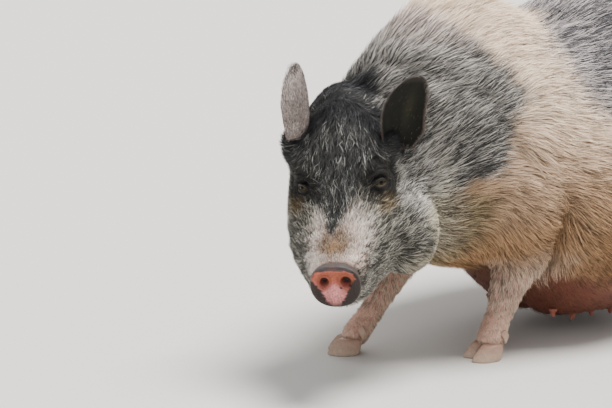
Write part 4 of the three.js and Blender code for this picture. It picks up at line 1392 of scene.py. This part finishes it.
def hair_colours(spots, spine_count, marks):
    """Colours down each tuft: light or dark by chance, as the dark share says, dusky at the root, with
    painted shade deepest at the root and a slight painted highlight at the tip.
    """
    light, dark, share, skin, _ = marks
    n = len(spots)
    share = np.clip(share + 0.10 * ripple(spots, 24, 30) * (share > 0.2), 0, 1)
    is_dark = (rng.uniform(size=n) < share)[:, None]
    hair = np.where(is_dark, dark, light)
    hair = hair + ((light + dark) / 2 - hair) * rng.uniform(0, 0.55, (n, 1)) ** 1.5
    hair = hair * rng.normal(1, 0.17, (n, 1)).clip(0.5, 1.35)
    lock = 1 + 0.15 * ripple(spots, 30, 31)[:, None] + 0.11 * ripple(spots, 13, 32)[:, None]
    # Painted shade down each tuft, darkest at the root where the hairs crowd, with a slight painted highlight
    # at the tip
    painted_shades = {3: (0.55, 0.88, 1.06), 4: (0.5, 0.78, 0.95, 1.08)}[spine_count]
    root = hair * 0.6 + np.minimum(dark, skin) * 0.4
    steps = []
    for k, painted_shade in enumerate(painted_shades):
        toward = k / (len(painted_shades) - 1)
        steps.append((root + (hair - root) * toward**0.7) * painted_shade * lock)
    return np.clip(np.stack(steps, 1), 0, 1)


def on_blades(steps):
    """A tuft's colours for its blade's points: two at each step of the spine, and one at the tip."""
    return np.repeat(steps, 2, axis=1)[:, :-1]


def grow(name, chosen, made, spots, marks, unwrap, short, most=190000):
    """Coat pieces from the chosen tufts, split in order along the unwrap so that each stays small enough."""
    spine, ups, width = made
    faces_each = 3 if short else 5
    numbers = np.flatnonzero(chosen)
    order = numbers[np.argsort(unwrap(spots[numbers])[:, 1])]
    parts = np.array_split(order, math.ceil(len(order) * faces_each / most))
    for k, part in enumerate(parts):
        steps = hair_colours(spots[part], 3 if short else 4, [m[part] for m in marks])
        blade = blades(spine[part], ups[part], width[part], short)
        label = f"{name}_{k + 1}" if len(parts) > 1 else name
        coat_piece(label, blade, on_blades(steps), unwrap(spots[part]), HAIR)


def ear_hair(label, shell, rise, across, inside, amount):
    """Short hair that lies towards the ear's tip: thin inside, dusky at the tip, darker on the left ear."""
    points, edges, triangles = mesh_points(shell.data), mesh_edges(shell.data), mesh_triangles(shell.data)
    normals = point_normals(points, triangles)
    grids = (rise, across, 1.0 * inside)
    height, aside, within = (np.concatenate([g.ravel(), g.ravel()[[0, -1]]]) for g in grids)
    density = 560000 * (1 - 0.985 * within) * (1 + 0.6 * (np.abs(aside) > 0.97))
    spots, facing, start = scattered(points, normals, triangles, density, amount)
    count = len(spots)
    rings = points[:-2].reshape(*rise.shape, 3)
    along = rings[-1].mean(0) - rings[0].mean(0)
    along /= np.linalg.norm(along)
    sizes = np.tile(np.array([[8.0], [1.3], [0.5], [0.0]]), (1, count))
    surface = (points, normals, neighbours(edges, len(points)))
    made = tufts(spots, facing, start, sizes, np.tile(along, (count, 1)), surface, 0.5, 9.0)
    light = np.tile(srgb(208, 198, 194) if label == "right" else srgb(170, 166, 160), (count, 1))
    light = np.where(within[start][:, None] > 0.5, srgb(50, 50, 40), light)
    dark = np.tile(srgb(92, 86, 84), (count, 1))
    skin = np.tile(srgb(140, 126, 122), (count, 1))
    share = 0.25 + 0.5 * soft(height[start], 0.84, 0.95) + 0.4 * within[start]
    share = share + (0.3 if label == "left" else 0)
    places = np.stack([rescaled(aside)[start], height[start]], -1)
    steps = hair_colours(spots, 3, (light, dark, np.clip(share, 0, 1), skin, None))
    coat_piece(f"coat_ear_{label}", blades(*made, True), on_blades(steps), places, HAIR)


def lamp(name, toward, strength, spread, colour):
    """A soft light of one direction, as from a wide screen far off: its disc is `spread` degrees across."""
    data = bpy.data.lights.new(name, "SUN")
    data.energy = strength
    data.angle = math.radians(spread)
    data.color = colour
    thing = bpy.data.objects.new(name, data)
    thing.rotation_euler = Vector(toward).to_track_quat("Z", "Y").to_euler()
    bpy.context.scene.collection.objects.link(thing)


# Skin
skin, points, edges, triangles, eyes = make_skin()
normals = point_normals(points, triangles)
_, dark, share, hide, bare = markings(points)
under = hide + (np.minimum(dark, hide) - hide) * (0.35 * share)[:, None]
paint(skin.data, "tone", under * (1 + 0.07 * ripple(points, 18, 50))[:, None])
skin.data.materials.append(HIDE)
flesh = ["head", "lower_jaw", "neck", "shoulders", "barrel", "hindquarters", "tail"]
for leg in LEGS:
    flesh += [f"{leg}_leg", f"{leg}_foot"]
settle(skin, "coat_cream", *flesh)

# Eyes and lids
LID_TONE = srgb(22, 20, 19)
for label, eye in zip(("left", "right"), eyes):
    spots, colours = eyeball(eye)
    settle(grid_tube(f"eye_{label}_ball", spots, EYE_GLASS, colours), "eye_dark", f"eye_{label}")
    spots, offset = lids(eye, points)
    # Painted shade in the creases between the lids' folds
    painted_crease_shade = bell(offset, 5.8, 1.2) + bell(offset, 12.2, 1.3) + bell(offset, 18, 1.3)
    tones = mixed(LID_TONE, srgb(6, 5, 6), painted_crease_shade)
    tones = mixed(tones, srgb(62, 46, 38), bell(offset, 0, 0.7) * 0.6)
    collar = make_mesh(f"lids_{label}", spots.reshape(-1, 3), [ring_faces(*spots.shape[:2])], [LID])
    paint(collar.data, "tone", tones.reshape(-1, 3))
    settle(collar, "coat_dark")

# Snout disc
spots, colours = snout_disc()
settle(grid_tube("nose_disc", spots, NOSE, colours), "snout_pink", "snout_disc")

# Hooves
for leg, (_, foot) in LEGS.items():
    pile = Pile()
    tones = []
    for rings in feet(foot):
        pile.tube(rings)
        grow_line = ripple(rings, 9, 60)[..., None] * 0.06 + 1
        high = rescaled(rings[..., 2])[..., None]
        tone = (srgb(172, 150, 132) * (1 - high) + srgb(150, 118, 102) * high) * grow_line
        tones += [tone.reshape(-1, 3), tone[0].mean(0)[None], tone[-1].mean(0)[None]]
    claws = pile.mesh(f"hooves_{leg}", HORN)
    paint(claws.data, "tone", np.concatenate(tones))
    names = [f"{leg}_{part}_{where}" for part in ("toe", "dewclaw") for where in ("inner", "outer")]
    settle(claws, "hoof_horn", *names)

# Teats along the belly: tapering tubes that hang from the skin and stay clear of the floor
pile = Pile()
t = np.linspace(0, 1, 14)[:, None]
a = np.linspace(0, 2 * np.pi, 20, endpoint=False)[None]
radius = TEATS["radius"] * (1 - 0.45 * soft(t, 0.1, 0.6)) * np.sqrt(1 - t**6) + 0.3
for side in (-TEATS["side"], TEATS["side"]):
    for k in range(TEATS["count"]):
        spot = frame_spot(side, TEATS["first"] + TEATS["step"] * k, 0.0)
        above = np.linalg.norm((points - spot)[:, :2], axis=1) < 0.012
        floor_gap = points[above, 2].min() * 1000
        drop = floor_gap + 7 - t * min(TEATS["length"], floor_gap + 4)
        pile.tube(spot + np.stack([radius * np.cos(a), radius * np.sin(a), drop + 0 * a], -1) / 1000)
teats = pile.mesh("teats", NOSE)
paint(teats.data, "tone", np.tile(srgb(150, 90, 76), (pile.count, 1)))
settle(teats, "skin_pink")

# Ears
ears = {}
for label in ("left", "right"):
    spots, rise, across, inside = ear(label)
    shell = grid_tube(f"ear_{label}_shell", spots, EAR_SKIN, ear_tones(label, rise, across, inside))
    settle(shell, "coat_grey" if label == "right" else "coat_dark", f"ear_{label}")
    ears[label] = (shell, rise, across, inside)

# Coat: none on the disc's rim or the eyes' openings
amount = 1.0
density = hair_size(points)[3] * (1 - 0.86 * bare)
density = density * np.where(near_head(points, 12), 0.0, 1.0)
for centre, axes in eyes:
    local = (points - centre) @ axes.T * 1000
    opening = (np.hypot(local[:, 0] / 1.2, local[:, 1]) < 12.5) & (np.abs(local[:, 2]) < 30)
    density = density * np.where(opening, 0.0, 1.0)
spots, facing, start = scattered(points, normals, triangles, density, amount)
sizes = hair_size(spots)
sizes[2] = sizes[2] * 1.0
marks = markings(spots)
on_head = near_head(spots, 235)
surface = (points, normals, neighbours(edges, len(points)))
made = tufts(spots, facing, start, sizes, hair_lie(spots, facing), surface, fine=0.85 * on_head)
little = sizes[0] < 16
low = (spots[:, 2] < 0.15) & (np.abs(spots[:, 0]) > 0.05) & ~on_head & (sizes[0] < 30)
grow("coat_muzzle", on_head & little, made, spots, marks, head_unwrap, True)
grow("coat_head", on_head & ~little, made, spots, marks, head_unwrap, False)
grow("coat_legs", ~on_head & low, made, spots, marks, leg_unwrap, True)
grow("coat_body", ~on_head & ~low, made, spots, marks, body_unwrap, False)
for label, parts in ears.items():
    ear_hair(label, *parts, amount)

# Floor and light
corners = [(-40, -40, 0), (40, -40, 0), (40, 40, 0), (-40, 40, 0)]
floor = make_mesh("floor", corners, [[[0, 1, 2, 3]]], [], False)
ground = bpy.data.materials.new("studio floor")
ground.use_nodes = True
ground.node_tree.nodes["Principled BSDF"].inputs["Base Color"].default_value = (0.56, 0.55, 0.535, 1)
ground.node_tree.nodes["Principled BSDF"].inputs["Roughness"].default_value = 0.9
floor.data.materials.append(ground)

world = bpy.data.worlds.new("studio")
world.use_nodes = True
world.node_tree.nodes["Background"].inputs["Color"].default_value = (1.0, 0.99, 0.97, 1)
world.node_tree.nodes["Background"].inputs["Strength"].default_value = 0.74
bpy.context.scene.world = world
lamp("key", (0.9, 0.5, 3.0), 8.2, 30, (1.0, 0.97, 0.92))
lamp("front", (1.2, -3.2, 1.6), 0.5, 50, (0.97, 0.98, 1.0))
lamp("rim", (-2.2, 1.8, 2.0), 0.9, 40, (1.0, 0.98, 0.95))

# Camera: its lift and turn, its distance in metres, its focal length and picture size in pixels,
# and the pixel where the near forefoot is seen
LIFT, ROUND = math.radians(11.0), math.radians(48.0)
DISTANCE, FOCAL = 3.0, 1875.0
FRAME_WIDE, FRAME_TALL = 612, 408
FOOT_SEEN = (487, 357)
right = Vector((math.cos(ROUND), math.sin(ROUND), 0))
over = Vector((-math.sin(ROUND) * math.sin(LIFT), math.cos(ROUND) * math.sin(LIFT), math.cos(LIFT)))
toward = Vector((math.sin(ROUND) * math.cos(LIFT), -math.cos(ROUND) * math.cos(LIFT), math.sin(LIFT)))
foot = Vector(frame_spot(78.0, 240.0, 0.0))
place = foot - right * ((FOOT_SEEN[0] - FRAME_WIDE / 2) / FOCAL * DISTANCE)
place = place + over * ((FOOT_SEEN[1] - FRAME_TALL / 2) / FOCAL * DISTANCE) + toward * DISTANCE
camera_data = bpy.data.cameras.new("camera")
camera_data.sensor_width = 36.0
camera_data.lens = FOCAL / FRAME_WIDE * 36
camera = bpy.data.objects.new("camera", camera_data)
pose = Matrix((right, over, toward)).transposed().to_4x4()
pose.translation = place
camera.matrix_world = pose
bpy.context.scene.collection.objects.link(camera)
bpy.context.scene.camera = camera
